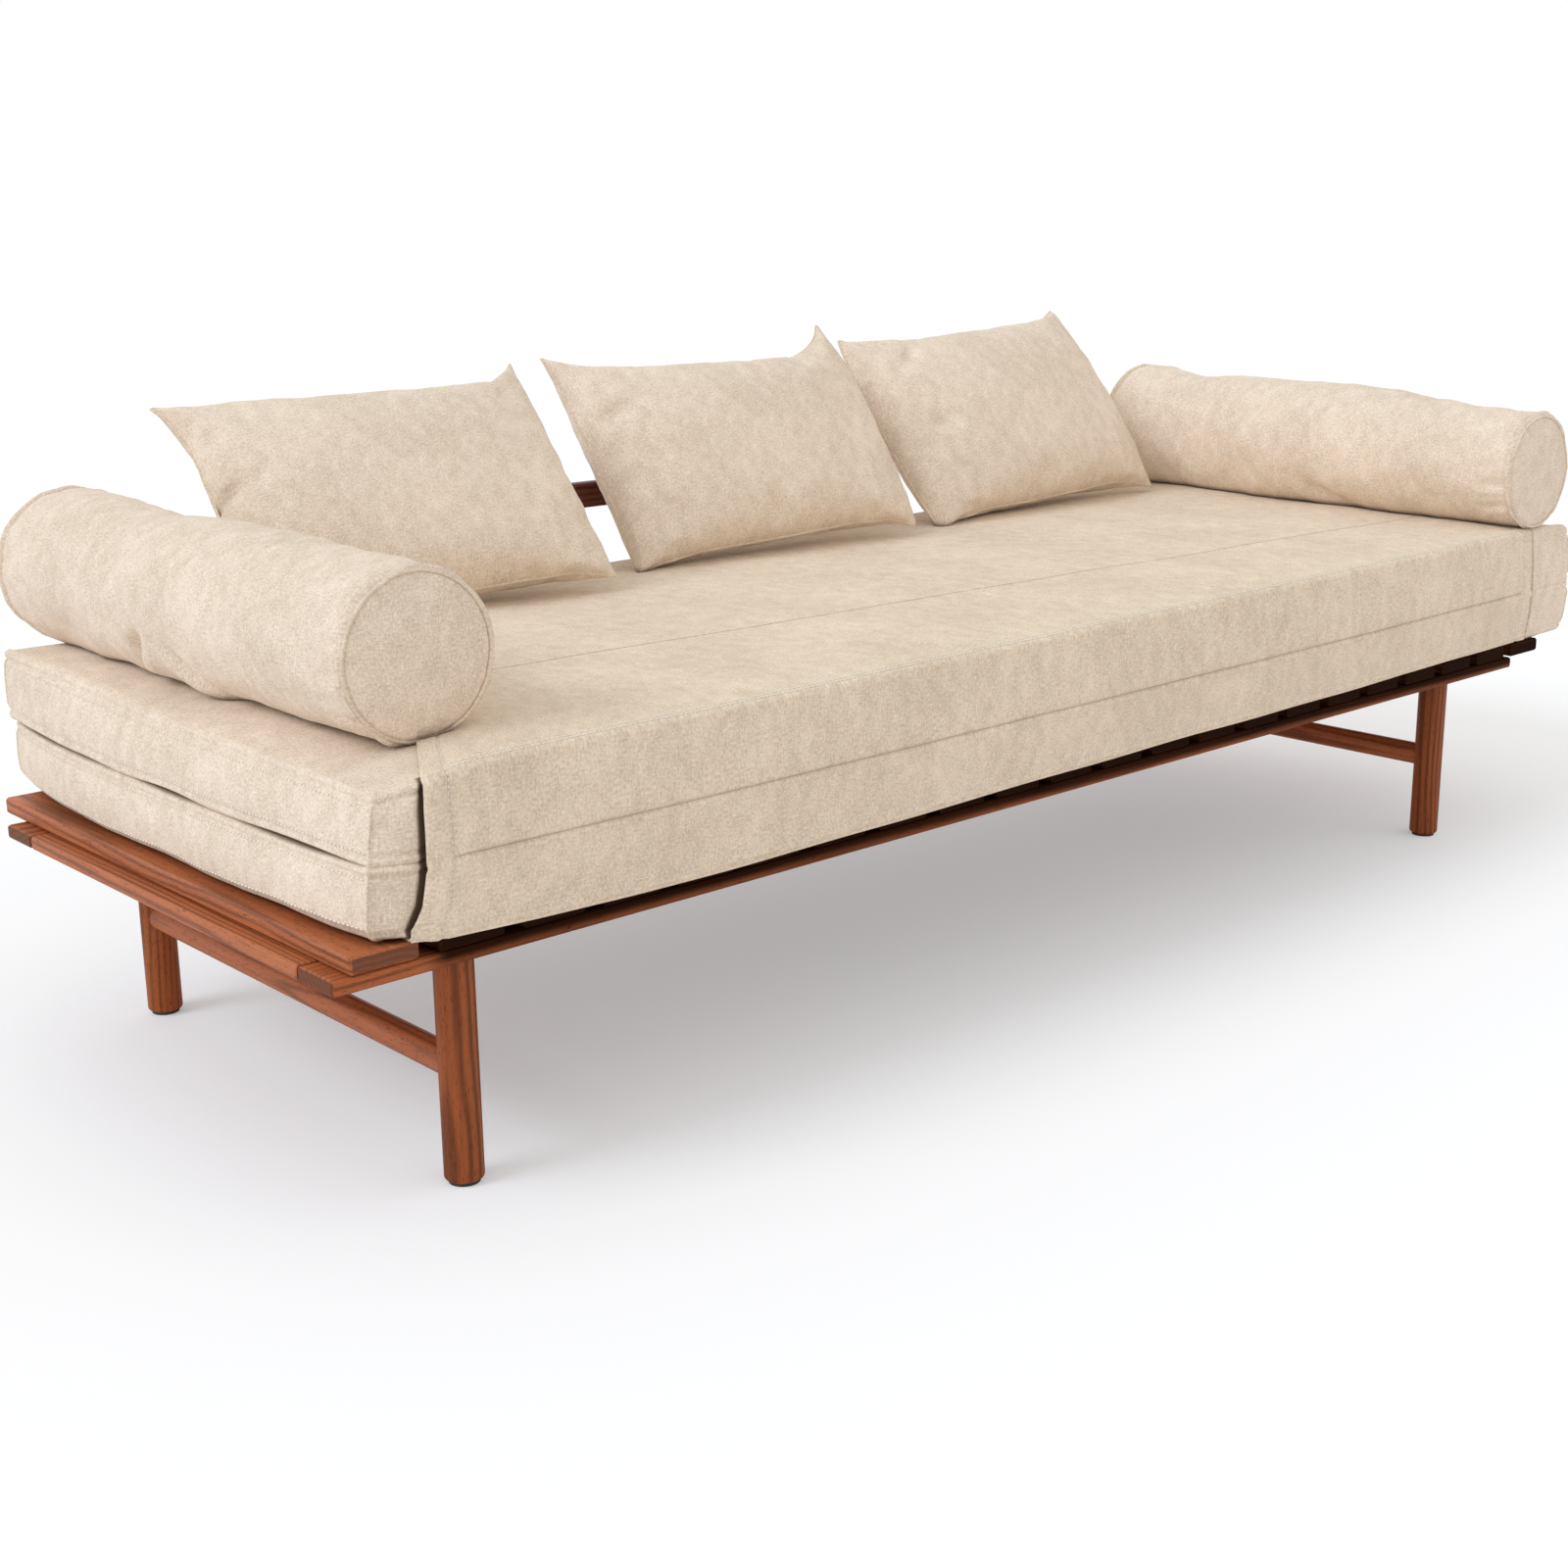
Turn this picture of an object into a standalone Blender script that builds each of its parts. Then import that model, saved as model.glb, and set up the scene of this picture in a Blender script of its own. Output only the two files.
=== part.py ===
"""Sofa bed: a slatted timber daybed with a folded mattress, two bolsters and three loose back cushions.

Metres, +X along the length, the front towards -Y, +Z up. Sizes are first written from the lower frame's
front left corner on the floor; the finished assembly is then moved so that the origin is the middle of its
footprint.
"""
import math

import bmesh
import bpy
from mathutils import Euler, Vector

# Clearances
GAP = 0.0003                    # between timber pieces that touch
SOFT_GAP = 0.0005               # between a soft piece and what it rests on

# Lower frame: long rails that run through, with end rails butted between them
FRAME_LENGTH = 1.920
FRAME_DEPTH = 0.672
FRAME_UNDERSIDE = 0.226         # floor to the rails' lower face
RAIL_WIDTH = 0.060
RAIL_THICKNESS = 0.015
TIMBER_ROUNDING = 0.0035

# Legs, glides and stretchers
LEG_DIAMETER = 0.038
LEG_FROM_END = 0.144
LEG_FROM_FACE = 0.036
LEG_TENON_DIAMETER = 0.026
LEG_FOOT_ROUNDING = 0.004
GLIDE_DIAMETER = 0.030
GLIDE_THICKNESS = 0.003
STRETCHER_DIAMETER = 0.030
STRETCHER_HEIGHT = 0.115
STRETCHER_TENON_DIAMETER = 0.016
STRETCHER_TENON_LENGTH = 0.022  # into each leg
ROUND_SIDES = 32

# Slatted deck, set to the right and to the back of the lower frame
DECK_INSET_LEFT = 0.018
DECK_OVERHANG_RIGHT = 0.070
DECK_OVERHANG_REAR = 0.042
SLAT_COUNT = 22
SLAT_WIDTH = 0.070
SLAT_THICKNESS = 0.018
SLAT_CHAMFER = 0.0025

# Back rail on three posts behind the mattress
BACK_RAIL_LENGTH = 1.440
BACK_RAIL_FROM_LEFT = 0.236     # mattress end to the rail's end, clear of the bolster
BACK_RAIL_UNDERSIDE = 0.491
BACK_RAIL_HEIGHT = 0.033
BACK_RAIL_THICKNESS = 0.020
BACK_CLEARANCE = 0.006          # from the mattress or the deck to the posts' front
POST_SPACING = 0.600
POST_WIDTH = 0.046
POST_TENON_WIDTH = 0.026
POST_TENON_THICKNESS = 0.008
POST_TENON_LENGTH = 0.018
BRACKET_DROP = 0.040            # how far a post's bracket hangs below the rails

# Folded mattress: two layers in one cover, held together by a fabric band
MATTRESS_LENGTH = 2.006
MATTRESS_FROM_DECK_LEFT = 0.040
MATTRESS_DEPTH = 0.733
MATTRESS_FROM_DECK_FRONT = 0.005
LOWER_LAYER = 0.069
UPPER_LAYER = 0.060
LAYER_ROUNDING = 0.011
MATTRESS_CROWN = 0.0235         # rise of the top from its left end to the middle of the length
RIGHT_RISE = 0.0045             # further rise from the middle to the right end
CROWN_FALL = 20                 # the crown stays nearly level up to the ends
RIGHT_FALL = 0.35               # share of the crown that is lost at the right end
DEPTH_CROWN = 0.006             # rise of the top from its long edges
FRONT_SWELL = 0.016             # how far the front bellies out between the corners
CORNER_FLARE = 0.020            # how far the rear corners stand out past the posts
SIDE_BULGE = 0.006              # how far each layer's walls stand out between their seams
LENGTH_SHARES = (0.0, 0.067, 0.14, 0.23, 0.33, 0.43, 0.53, 0.62, 0.71, 0.8, 0.9, 1.0)  # facets along the band
DEPTH_SPANS = 6
BAND_THICKNESS = 0.0025
BAND_FROM_LEFT = 0.038
BAND_FROM_RIGHT = 0.109

# Bolsters
BOLSTER_RADIUS = 0.085
BOLSTER_LENGTH = 0.710
BOLSTER_CAP_RADIUS = 0.078
BOLSTER_CAP_DOME = 0.010
BOLSTER_WAIST = 0.006           # how far the middle is drawn in
BOLSTER_SINK = 0.005            # how far the weight flattens the underside
BOLSTER_SIDES = 28
BOLSTER_BODY_RINGS = 11
LEFT_BOLSTER_FROM_END = 0.092   # mattress end to the bolster's axis
RIGHT_BOLSTER_FROM_END = 0.092
LEFT_BOLSTER_FROM_FRONT = 0.060
RIGHT_BOLSTER_FROM_FRONT = 0.006

# Loose cushions
CUSHION_WIDTH = 0.468
CUSHION_HEIGHT = 0.332
CUSHION_THICKNESS = 0.128
CUSHION_DRAW = 0.060            # share by which a side is drawn in between its corners
CUSHION_SINK = 0.004
CUSHION_COLUMNS = 20
CUSHION_ROWS = 14
# name, middle from the mattress's left end, and lean, roll and turn in degrees
CUSHIONS = (
    ("cushion_left", 0.438, -43.0, 6.0, -13.0),
    ("cushion_middle", 0.994, -36.7, 1.5, -6.8),
    ("cushion_right", 1.532, -38.0, -1.5, -1.8),
)

# Places worked out from the sizes above
FRAME_TOP = FRAME_UNDERSIDE + RAIL_THICKNESS
DECK_LEFT = DECK_INSET_LEFT
DECK_RIGHT = FRAME_LENGTH + DECK_OVERHANG_RIGHT
DECK_REAR = FRAME_DEPTH + DECK_OVERHANG_REAR
DECK_TOP = FRAME_TOP + GAP + SLAT_THICKNESS
MATTRESS_LEFT = DECK_LEFT + MATTRESS_FROM_DECK_LEFT
MATTRESS_RIGHT = MATTRESS_LEFT + MATTRESS_LENGTH
MATTRESS_FRONT = MATTRESS_FROM_DECK_FRONT
MATTRESS_REAR = MATTRESS_FRONT + MATTRESS_DEPTH
BACK_FRONT = max(DECK_REAR, MATTRESS_REAR) + BACK_CLEARANCE
BACK_RAIL_TOP = BACK_RAIL_UNDERSIDE + BACK_RAIL_HEIGHT
BACK_RAIL_LEFT = MATTRESS_LEFT + BACK_RAIL_FROM_LEFT
BACK_RAIL_MIDDLE = BACK_RAIL_LEFT + BACK_RAIL_LENGTH / 2
MATTRESS_BOTTOM = DECK_TOP + GAP + BAND_THICKNESS + SOFT_GAP
MATTRESS_SEAM = MATTRESS_BOTTOM + LOWER_LAYER
MATTRESS_TOP = MATTRESS_SEAM + UPPER_LAYER
BAND_LEFT = MATTRESS_LEFT + BAND_FROM_LEFT
BAND_RIGHT = MATTRESS_RIGHT - BAND_FROM_RIGHT
LENGTH_CUTS = [BAND_LEFT + (BAND_RIGHT - BAND_LEFT) * share for share in LENGTH_SHARES]
DEPTH_CUTS = [MATTRESS_FRONT + MATTRESS_DEPTH * i / DEPTH_SPANS for i in range(1, DEPTH_SPANS)]
LENGTH_STATIONS = [MATTRESS_LEFT] + LENGTH_CUTS + [MATTRESS_RIGHT]
DEPTH_STATIONS = [MATTRESS_FRONT] + DEPTH_CUTS + [MATTRESS_REAR]
HEIGHT_CUTS = [MATTRESS_BOTTOM + LOWER_LAYER / 2, MATTRESS_SEAM + UPPER_LAYER / 2]
LEG_PLACES = {
    "front_left": (LEG_FROM_END, LEG_FROM_FACE),
    "front_right": (FRAME_LENGTH - LEG_FROM_END, LEG_FROM_FACE),
    "rear_left": (LEG_FROM_END, FRAME_DEPTH - LEG_FROM_FACE),
    "rear_right": (FRAME_LENGTH - LEG_FROM_END, FRAME_DEPTH - LEG_FROM_FACE),
}
POST_PLACES = {
    "left": BACK_RAIL_MIDDLE - POST_SPACING,
    "middle": BACK_RAIL_MIDDLE,
    "right": BACK_RAIL_MIDDLE + POST_SPACING,
}


def clear_scene():
    for obj in list(bpy.data.objects):
        bpy.data.objects.remove(obj, do_unlink=True)


def collection(name):
    made = bpy.data.collections.new(name)
    bpy.context.scene.collection.children.link(made)
    return made


def material(name, colour, roughness):
    made = bpy.data.materials.new(name)
    made.use_nodes = True
    shader = made.node_tree.nodes["Principled BSDF"]
    shader.inputs["Base Color"].default_value = (*colour, 1.0)
    shader.inputs["Roughness"].default_value = roughness
    shader.inputs["Metallic"].default_value = 0.0
    return made


clear_scene()
PARTS = collection("sofa_bed")
CUTTERS = collection("cutters")
ROOT = bpy.data.objects.new("sofa_bed_origin", None)
PARTS.objects.link(ROOT)
BEECH = material("stained_beech", (0.270, 0.085, 0.040), 0.42)
DARK_BEECH = material("stained_beech_back", (0.120, 0.035, 0.025), 0.45)
FELT = material("felt_glide", (0.050, 0.045, 0.040), 0.90)
COVER = material("beige_cover", (0.680, 0.560, 0.420), 0.90)
BAND_CLOTH = material("beige_band", (0.690, 0.570, 0.430), 0.90)


def add_part(name, mesh, finish, location=(0, 0, 0)):
    obj = bpy.data.objects.new(name, mesh)
    PARTS.objects.link(obj)
    obj.location = location
    obj.parent = ROOT
    mesh.materials.clear()
    mesh.materials.append(finish)
    return obj


def mesh_from(bm, name):
    bm.normal_update()
    mesh = bpy.data.meshes.new(name)
    bm.to_mesh(mesh)
    bm.free()
    return mesh


def box_bmesh(low, high):
    """A box between two corners."""
    bm = bmesh.new()
    bmesh.ops.create_cube(bm, size=1.0)
    for vert in bm.verts:
        vert.co = Vector([low[i] if vert.co[i] < 0 else high[i] for i in range(3)])
    return bm


def round_edges(obj, width, segments):
    bevel = obj.modifiers.new("rounded edges", "BEVEL")
    bevel.width = width
    bevel.segments = segments
    bevel.limit_method = "ANGLE"
    return bevel


def board(name, low, high, finish, rounding, segments=2):
    """A flat board between two corners, with its edges rounded; its origin is its middle."""
    middle = (Vector(low) + Vector(high)) / 2
    bm = box_bmesh(Vector(low) - middle, Vector(high) - middle)
    obj = add_part(name, mesh_from(bm, name), finish, middle)
    round_edges(obj, rounding, segments)
    return obj


def round_bar_mesh(name, start, end, diameter):
    start, end = Vector(start), Vector(end)
    bm = bmesh.new()
    bmesh.ops.create_cone(bm, cap_ends=True, segments=ROUND_SIDES, radius1=diameter / 2, radius2=diameter / 2,
                          depth=(end - start).length)
    turn = (end - start).to_track_quat("Z", "Y").to_matrix().to_4x4()
    turn.translation = (start + end) / 2
    bmesh.ops.transform(bm, matrix=turn, verts=bm.verts)
    return mesh_from(bm, name)


def round_bar(name, start, end, diameter):
    """A round bar for a cut or a joint."""
    return bpy.data.objects.new(name, round_bar_mesh(name, start, end, diameter))


def boolean(obj, tool, operation):
    """Cuts the tool from the piece, or joins it; the tool stays hidden among the cutters."""
    CUTTERS.objects.link(tool)
    tool.parent = ROOT
    tool.hide_render = True
    tool.hide_viewport = True
    tool.display_type = "WIRE"
    modifier = obj.modifiers.new(tool.name, "BOOLEAN")
    modifier.operation = operation
    modifier.object = tool
    modifier.solver = "EXACT"


def smooth(obj, degrees=35):
    obj.data.shade_smooth()
    obj.data.set_sharp_from_angle(angle=math.radians(degrees))


def turned(name, profile, place, finish):
    """A turned piece: the profile runs down its outer side, from the axis at the top to the axis below."""
    bm = bmesh.new()
    verts = [bm.verts.new((radius, 0.0, height)) for radius, height in profile]
    for first, second in zip(verts, verts[1:]):
        bm.edges.new((first, second))
    obj = add_part(name, mesh_from(bm, name), finish, place)
    screw = obj.modifiers.new("turned", "SCREW")
    screw.axis = "Z"
    screw.steps = ROUND_SIDES
    screw.render_steps = ROUND_SIDES
    screw.use_merge_vertices = True
    screw.merge_threshold = 0.00001
    screw.use_smooth_shade = True
    return obj


def lower_frame():
    """The long rails, drilled for the leg tenons, and the rails butted between them."""
    for name, front in (("front_rail", 0.0), ("rear_rail", FRAME_DEPTH - RAIL_WIDTH)):
        low = (0.0, front, FRAME_UNDERSIDE)
        high = (FRAME_LENGTH, front + RAIL_WIDTH, FRAME_TOP)
        rail = board(name, low, high, BEECH, TIMBER_ROUNDING)
        for place, (x, y) in LEG_PLACES.items():
            if low[1] < y < high[1]:
                hole = round_bar(f"tenon_hole_{place}", (x, y, FRAME_UNDERSIDE - RAIL_THICKNESS),
                                 (x, y, FRAME_TOP + RAIL_THICKNESS), LEG_TENON_DIAMETER + 2 * GAP)
                boolean(rail, hole, "DIFFERENCE")
    between = (RAIL_WIDTH + GAP, FRAME_DEPTH - RAIL_WIDTH - GAP)
    lefts = {
        "left_end_rail": 0.0,
        "middle_cross_rail": (FRAME_LENGTH - RAIL_WIDTH) / 2,
        "right_end_rail": FRAME_LENGTH - RAIL_WIDTH,
    }
    for name, left in lefts.items():
        board(name, (left, between[0], FRAME_UNDERSIDE), (left + RAIL_WIDTH, between[1], FRAME_TOP), BEECH,
              TIMBER_ROUNDING)


def legs():
    """Turned legs with a tenon up into the rail, a bore for the stretcher and a felt glide below."""
    radius = LEG_DIAMETER / 2
    shoulder = FRAME_UNDERSIDE - GAP
    bottom = GLIDE_THICKNESS + GAP
    for place, (x, y) in LEG_PLACES.items():
        profile = [(0.0, FRAME_TOP - GAP), (LEG_TENON_DIAMETER / 2, FRAME_TOP - GAP),
                   (LEG_TENON_DIAMETER / 2, shoulder), (radius, shoulder)]
        for step in range(4):
            turn = math.radians(30 * step)
            profile.append((radius - LEG_FOOT_ROUNDING * (1 - math.cos(turn)),
                            bottom + LEG_FOOT_ROUNDING * (1 - math.sin(turn))))
        profile.append((0.0, bottom))
        leg = turned(f"leg_{place}", profile, (x, y, 0.0), BEECH)
        inward = 1.0 if "front" in place else -1.0
        depth = radius - STRETCHER_TENON_LENGTH - GAP
        bore = round_bar(f"stretcher_bore_{place}", (x, y + inward * depth, STRETCHER_HEIGHT),
                         (x, y + inward * 2 * radius, STRETCHER_HEIGHT), STRETCHER_TENON_DIAMETER + 2 * GAP)
        boolean(leg, bore, "DIFFERENCE")
        glide = [(0.0, GLIDE_THICKNESS), (GLIDE_DIAMETER / 2, GLIDE_THICKNESS), (GLIDE_DIAMETER / 2, 0.0), (0.0, 0.0)]
        turned(f"glide_{place}", glide, (x, y, 0.0), FELT)


def stretchers():
    """Round stretchers between the front and rear legs, coped to the legs and tenoned into them."""
    reach = LEG_DIAMETER / 2 - STRETCHER_TENON_LENGTH
    for side in ("left", "right"):
        x, front = LEG_PLACES[f"front_{side}"]
        rear = LEG_PLACES[f"rear_{side}"][1]
        name = f"stretcher_{side}"
        bar = round_bar_mesh(name, (x, front, STRETCHER_HEIGHT), (x, rear, STRETCHER_HEIGHT), STRETCHER_DIAMETER)
        obj = add_part(name, bar, BEECH)
        for y in (front, rear):
            cope = round_bar(f"{name}_cope_{'front' if y == front else 'rear'}",
                             (x, y, STRETCHER_HEIGHT - LEG_DIAMETER), (x, y, STRETCHER_HEIGHT + LEG_DIAMETER),
                             LEG_DIAMETER + 2 * GAP)
            boolean(obj, cope, "DIFFERENCE")
        tenons = round_bar(f"{name}_tenons", (x, front + reach, STRETCHER_HEIGHT), (x, rear - reach, STRETCHER_HEIGHT),
                           STRETCHER_TENON_DIAMETER)
        boolean(obj, tenons, "UNION")


def deck():
    """Slats that run from front to back, evenly spaced over the deck's length."""
    pitch = (DECK_RIGHT - DECK_LEFT - SLAT_WIDTH) / (SLAT_COUNT - 1)
    for number in range(SLAT_COUNT):
        left = DECK_LEFT + number * pitch
        board(f"slat_{number + 1:02d}", (left, 0.0, FRAME_TOP + GAP), (left + SLAT_WIDTH, DECK_REAR, DECK_TOP), BEECH,
              SLAT_CHAMFER, segments=1)


def back():
    """A slim rail on three posts; each post stands on a bracket fixed behind the rear rail."""
    rear = BACK_FRONT + BACK_RAIL_THICKNESS
    middle = (BACK_FRONT + rear) / 2
    rail = board("back_rail", (BACK_RAIL_LEFT, BACK_FRONT, BACK_RAIL_UNDERSIDE),
                 (BACK_RAIL_LEFT + BACK_RAIL_LENGTH, rear, BACK_RAIL_TOP), DARK_BEECH, TIMBER_ROUNDING)
    foot = FRAME_UNDERSIDE - BRACKET_DROP
    shoulder = BACK_RAIL_UNDERSIDE - GAP
    for side, x in POST_PLACES.items():
        post = board(f"back_post_{side}", (x - POST_WIDTH / 2, BACK_FRONT, foot), (x + POST_WIDTH / 2, rear, shoulder),
                     DARK_BEECH, TIMBER_ROUNDING)
        tenon_low = Vector((x - POST_TENON_WIDTH / 2, middle - POST_TENON_THICKNESS / 2, shoulder - POST_TENON_LENGTH))
        tenon_high = Vector((x + POST_TENON_WIDTH / 2, middle + POST_TENON_THICKNESS / 2, shoulder + POST_TENON_LENGTH))
        margin = Vector((GAP, GAP, GAP))
        tenon = bpy.data.objects.new(f"post_tenon_{side}", mesh_from(box_bmesh(tenon_low, tenon_high), "tenon"))
        mortise = bpy.data.objects.new(f"post_mortise_{side}",
                                       mesh_from(box_bmesh(tenon_low - margin, tenon_high + margin), "mortise"))
        boolean(post, tenon, "UNION")
        boolean(rail, mortise, "DIFFERENCE")
        board(f"post_bracket_{side}", (x - POST_WIDTH / 2, FRAME_DEPTH + GAP, foot),
              (x + POST_WIDTH / 2, BACK_FRONT - GAP, FRAME_TOP), BEECH, TIMBER_ROUNDING)


def length_crown(x):
    along = max(-1.0, min(1.0, 2 * (x - MATTRESS_LEFT) / MATTRESS_LENGTH - 1))
    fall = abs(along) ** CROWN_FALL * (RIGHT_FALL if along > 0 else 1.0)
    return (MATTRESS_CROWN + RIGHT_RISE * along) * (1 - fall)


def depth_crown(y):
    across = min(1.0, abs(2 * (y - MATTRESS_FRONT) / MATTRESS_DEPTH - 1))
    return DEPTH_CROWN * (1 - across ** 4)


def on_facet(place, stations, curve):
    """A curve's height on the straight facet between its two nearest stations."""
    for first, second in zip(stations, stations[1:]):
        if first <= place <= second:
            share = (place - first) / (second - first)
            return (1 - share) * curve(first) + share * curve(second)
    return curve(place)


def upholster(point):
    """Moves a point of the square-cut mattress to where the stuffed cover holds it."""
    x, y, z = point
    along = 2 * (x - MATTRESS_LEFT) / MATTRESS_LENGTH - 1
    across = 2 * (y - MATTRESS_FRONT) / MATTRESS_DEPTH - 1
    if z > MATTRESS_SEAM:
        level = (z - MATTRESS_SEAM) / UPPER_LAYER
        rise = (length_crown(x) + depth_crown(y)) * level
    else:
        level = (z - MATTRESS_BOTTOM) / LOWER_LAYER
        rise = 0.0
    bulge = SIDE_BULGE * (1 - (2 * level - 1) ** 2)
    front = FRONT_SWELL * (1 - along ** 4) + bulge
    rear = CORNER_FLARE * along ** 12
    out = rear * max(0.0, across) ** 3 - front * max(0.0, -across) ** 3
    end = bulge * math.copysign(abs(along) ** 40, along) * (1 - across ** 4)
    return Vector((x + end, y + out, z + rise))


def sliced_box(low, high, cuts):
    """A box with extra edge loops at the given places along each axis."""
    bm = box_bmesh(low, high)
    for axis, places in enumerate(cuts):
        normal = [0.0, 0.0, 0.0]
        normal[axis] = 1.0
        for place in places:
            if low[axis] + GAP < place < high[axis] - GAP:
                point = [0.0, 0.0, 0.0]
                point[axis] = place
                bmesh.ops.bisect_plane(bm, geom=bm.verts[:] + bm.edges[:] + bm.faces[:], dist=0.00001,
                                       plane_co=point, plane_no=normal)
    return bm


def mattress_layer(name, bottom, top):
    bm = sliced_box((MATTRESS_LEFT, MATTRESS_FRONT, bottom), (MATTRESS_RIGHT, MATTRESS_REAR, top),
                    (LENGTH_CUTS, DEPTH_CUTS, HEIGHT_CUTS))
    for vert in bm.verts:
        vert.co = upholster(vert.co)
    obj = add_part(name, mesh_from(bm, name), COVER)
    round_edges(obj, LAYER_ROUNDING, 2)
    smooth(obj)


def mattress_band():
    """The sleeve round both layers: the mattress's own walls, a little further out, open at both ends."""
    bm = sliced_box((BAND_LEFT, MATTRESS_FRONT, MATTRESS_BOTTOM), (BAND_RIGHT, MATTRESS_REAR, MATTRESS_TOP),
                    (LENGTH_CUTS, DEPTH_CUTS, HEIGHT_CUTS + [MATTRESS_SEAM]))
    ends = [face for face in bm.faces if abs(face.normal.x) > 0.9]
    bmesh.ops.delete(bm, geom=ends, context="FACES")
    for vert in bm.verts:
        vert.co = upholster(vert.co)
    bm.normal_update()
    outward = {vert: vert.normal.copy() for vert in bm.verts}
    for vert, normal in outward.items():
        square = max(abs(normal.y), abs(normal.z))
        vert.co += Vector((0.0, normal.y, normal.z)) * SOFT_GAP / square
    obj = add_part("mattress_band", mesh_from(bm, "mattress_band"), BAND_CLOTH)
    round_edges(obj, LAYER_ROUNDING, 2)
    wall = obj.modifiers.new("cloth", "SOLIDIFY")
    wall.thickness = BAND_THICKNESS
    wall.offset = 1.0
    wall.use_even_offset = True
    smooth(obj)


def seat_height(x, y):
    """The level of the band's upper side, on which the loose pieces rest, and a little for its creases."""
    crown = on_facet(x, LENGTH_STATIONS, length_crown) + on_facet(y, DEPTH_STATIONS, depth_crown)
    return MATTRESS_TOP + crown + SOFT_GAP + BAND_THICKNESS + SOFT_GAP + GAP


def drop(points, sink):
    """Lowers a soft piece onto the mattress and a little further."""
    fall = min(point.z - seat_height(point.x, point.y) for point in points) + sink
    for point in points:
        point.z -= fall


def flatten(points):
    """Presses what lies below the mattress's top flat on it."""
    for point in points:
        point.z = max(point.z, seat_height(point.x, point.y))


def bolster_rings():
    """Places along the axis and radii of the rings, from the front cap to the rear cap."""
    half = BOLSTER_LENGTH / 2
    cap = []
    for share in (0.50, 0.88):
        cap.append((-half - BOLSTER_CAP_DOME * (1 - share ** 2), BOLSTER_CAP_RADIUS * share))
    cap.append((-half, BOLSTER_CAP_RADIUS))
    body = []
    for step in range(BOLSTER_BODY_RINGS):
        along = 2 * (step + 0.35) / (BOLSTER_BODY_RINGS - 0.3) - 1
        waist = BOLSTER_WAIST * (1 - along ** 2)
        shoulder = (BOLSTER_RADIUS - BOLSTER_CAP_RADIUS) * along ** 16
        body.append((along * half, BOLSTER_RADIUS - waist - shoulder))
    return cap + body + [(-place, radius) for place, radius in reversed(cap)]


def bolster(name, x, front):
    rings = bolster_rings()
    bm = bmesh.new()
    bmesh.ops.create_uvsphere(bm, u_segments=BOLSTER_SIDES, v_segments=len(rings) + 1, radius=1.0)
    tip = BOLSTER_LENGTH / 2 + BOLSTER_CAP_DOME
    axis = Vector((x, front + tip, MATTRESS_TOP + BOLSTER_RADIUS * 2))
    for vert in bm.verts:
        place, radius = tip * vert.co.z, 0.0
        if abs(vert.co.z) < 0.9999:
            ring = round(math.acos(-vert.co.z) / math.pi * (len(rings) + 1)) - 1
            place, radius = rings[ring]
        spoke = Vector((vert.co.x, 0.0, -vert.co.y)).normalized()
        vert.co = axis + Vector((0.0, place, 0.0)) + radius * spoke
    points = [vert.co for vert in bm.verts]
    drop(points, BOLSTER_SINK)
    flatten(points)
    obj = add_part(name, mesh_from(bm, name), COVER)
    smooth(obj, 50)


def cushion_half(column, row):
    """A point of a cushion's face: the outline drawn in between its corners, and the crown."""
    a = math.sin(math.pi / 2 * (2 * column / CUSHION_COLUMNS - 1))
    b = math.sin(math.pi / 2 * (2 * row / CUSHION_ROWS - 1))
    x = CUSHION_WIDTH / 2 * a * (1 - CUSHION_DRAW * (1 - b * b))
    z = CUSHION_HEIGHT / 2 * b * (1 - CUSHION_DRAW * (1 - a * a))
    crown = max(0.0, (1 - a * a) * (1 - b * b)) ** 0.6
    return Vector((x, CUSHION_THICKNESS / 2 * crown, z))


def lean_back(points, edges):
    """Moves a cushion along Y until its back meets the back rail."""
    deepest = max((point.y for point in points if BACK_RAIL_UNDERSIDE <= point.z <= BACK_RAIL_TOP), default=None)
    for first, second in edges:
        for level in (BACK_RAIL_UNDERSIDE, BACK_RAIL_TOP):
            if (first.z - level) * (second.z - level) < 0:
                share = (level - first.z) / (second.z - first.z)
                y = first.y + share * (second.y - first.y)
                deepest = y if deepest is None else max(deepest, y)
    for point in points:
        point.y += BACK_FRONT - 2 * SOFT_GAP - deepest


def cushion(name, from_left, lean, roll, turn):
    """A knife-edged cushion: two crowned faces sewn together round the rim, leaning on the back rail."""
    bm = bmesh.new()
    bmesh.ops.create_grid(bm, x_segments=CUSHION_COLUMNS, y_segments=CUSHION_ROWS, size=1.0)
    for vert in bm.verts:
        column = round((vert.co.x + 1) / 2 * CUSHION_COLUMNS)
        row = round((vert.co.y + 1) / 2 * CUSHION_ROWS)
        vert.co = cushion_half(column, row)
    rear_faces = bm.faces[:]
    front = bmesh.ops.duplicate(bm, geom=bm.verts[:] + bm.edges[:] + rear_faces)
    bmesh.ops.reverse_faces(bm, faces=rear_faces)
    for item in front["geom"]:
        if isinstance(item, bmesh.types.BMVert):
            item.co.y = -item.co.y
    bmesh.ops.remove_doubles(bm, verts=bm.verts, dist=0.00002)
    pose = Euler([math.radians(angle) for angle in (lean, roll, turn)], "ZXY").to_matrix().to_4x4()
    pose.translation = (MATTRESS_LEFT + from_left, BACK_FRONT - CUSHION_THICKNESS, BACK_RAIL_TOP)
    bmesh.ops.transform(bm, matrix=pose, verts=bm.verts)
    points = [vert.co for vert in bm.verts]
    edges = [(edge.verts[0].co, edge.verts[1].co) for edge in bm.edges]
    for _ in range(3):
        drop(points, CUSHION_SINK)
        lean_back(points, edges)
    flatten(points)
    obj = add_part(name, mesh_from(bm, name), COVER)
    smooth(obj, 60)


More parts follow.
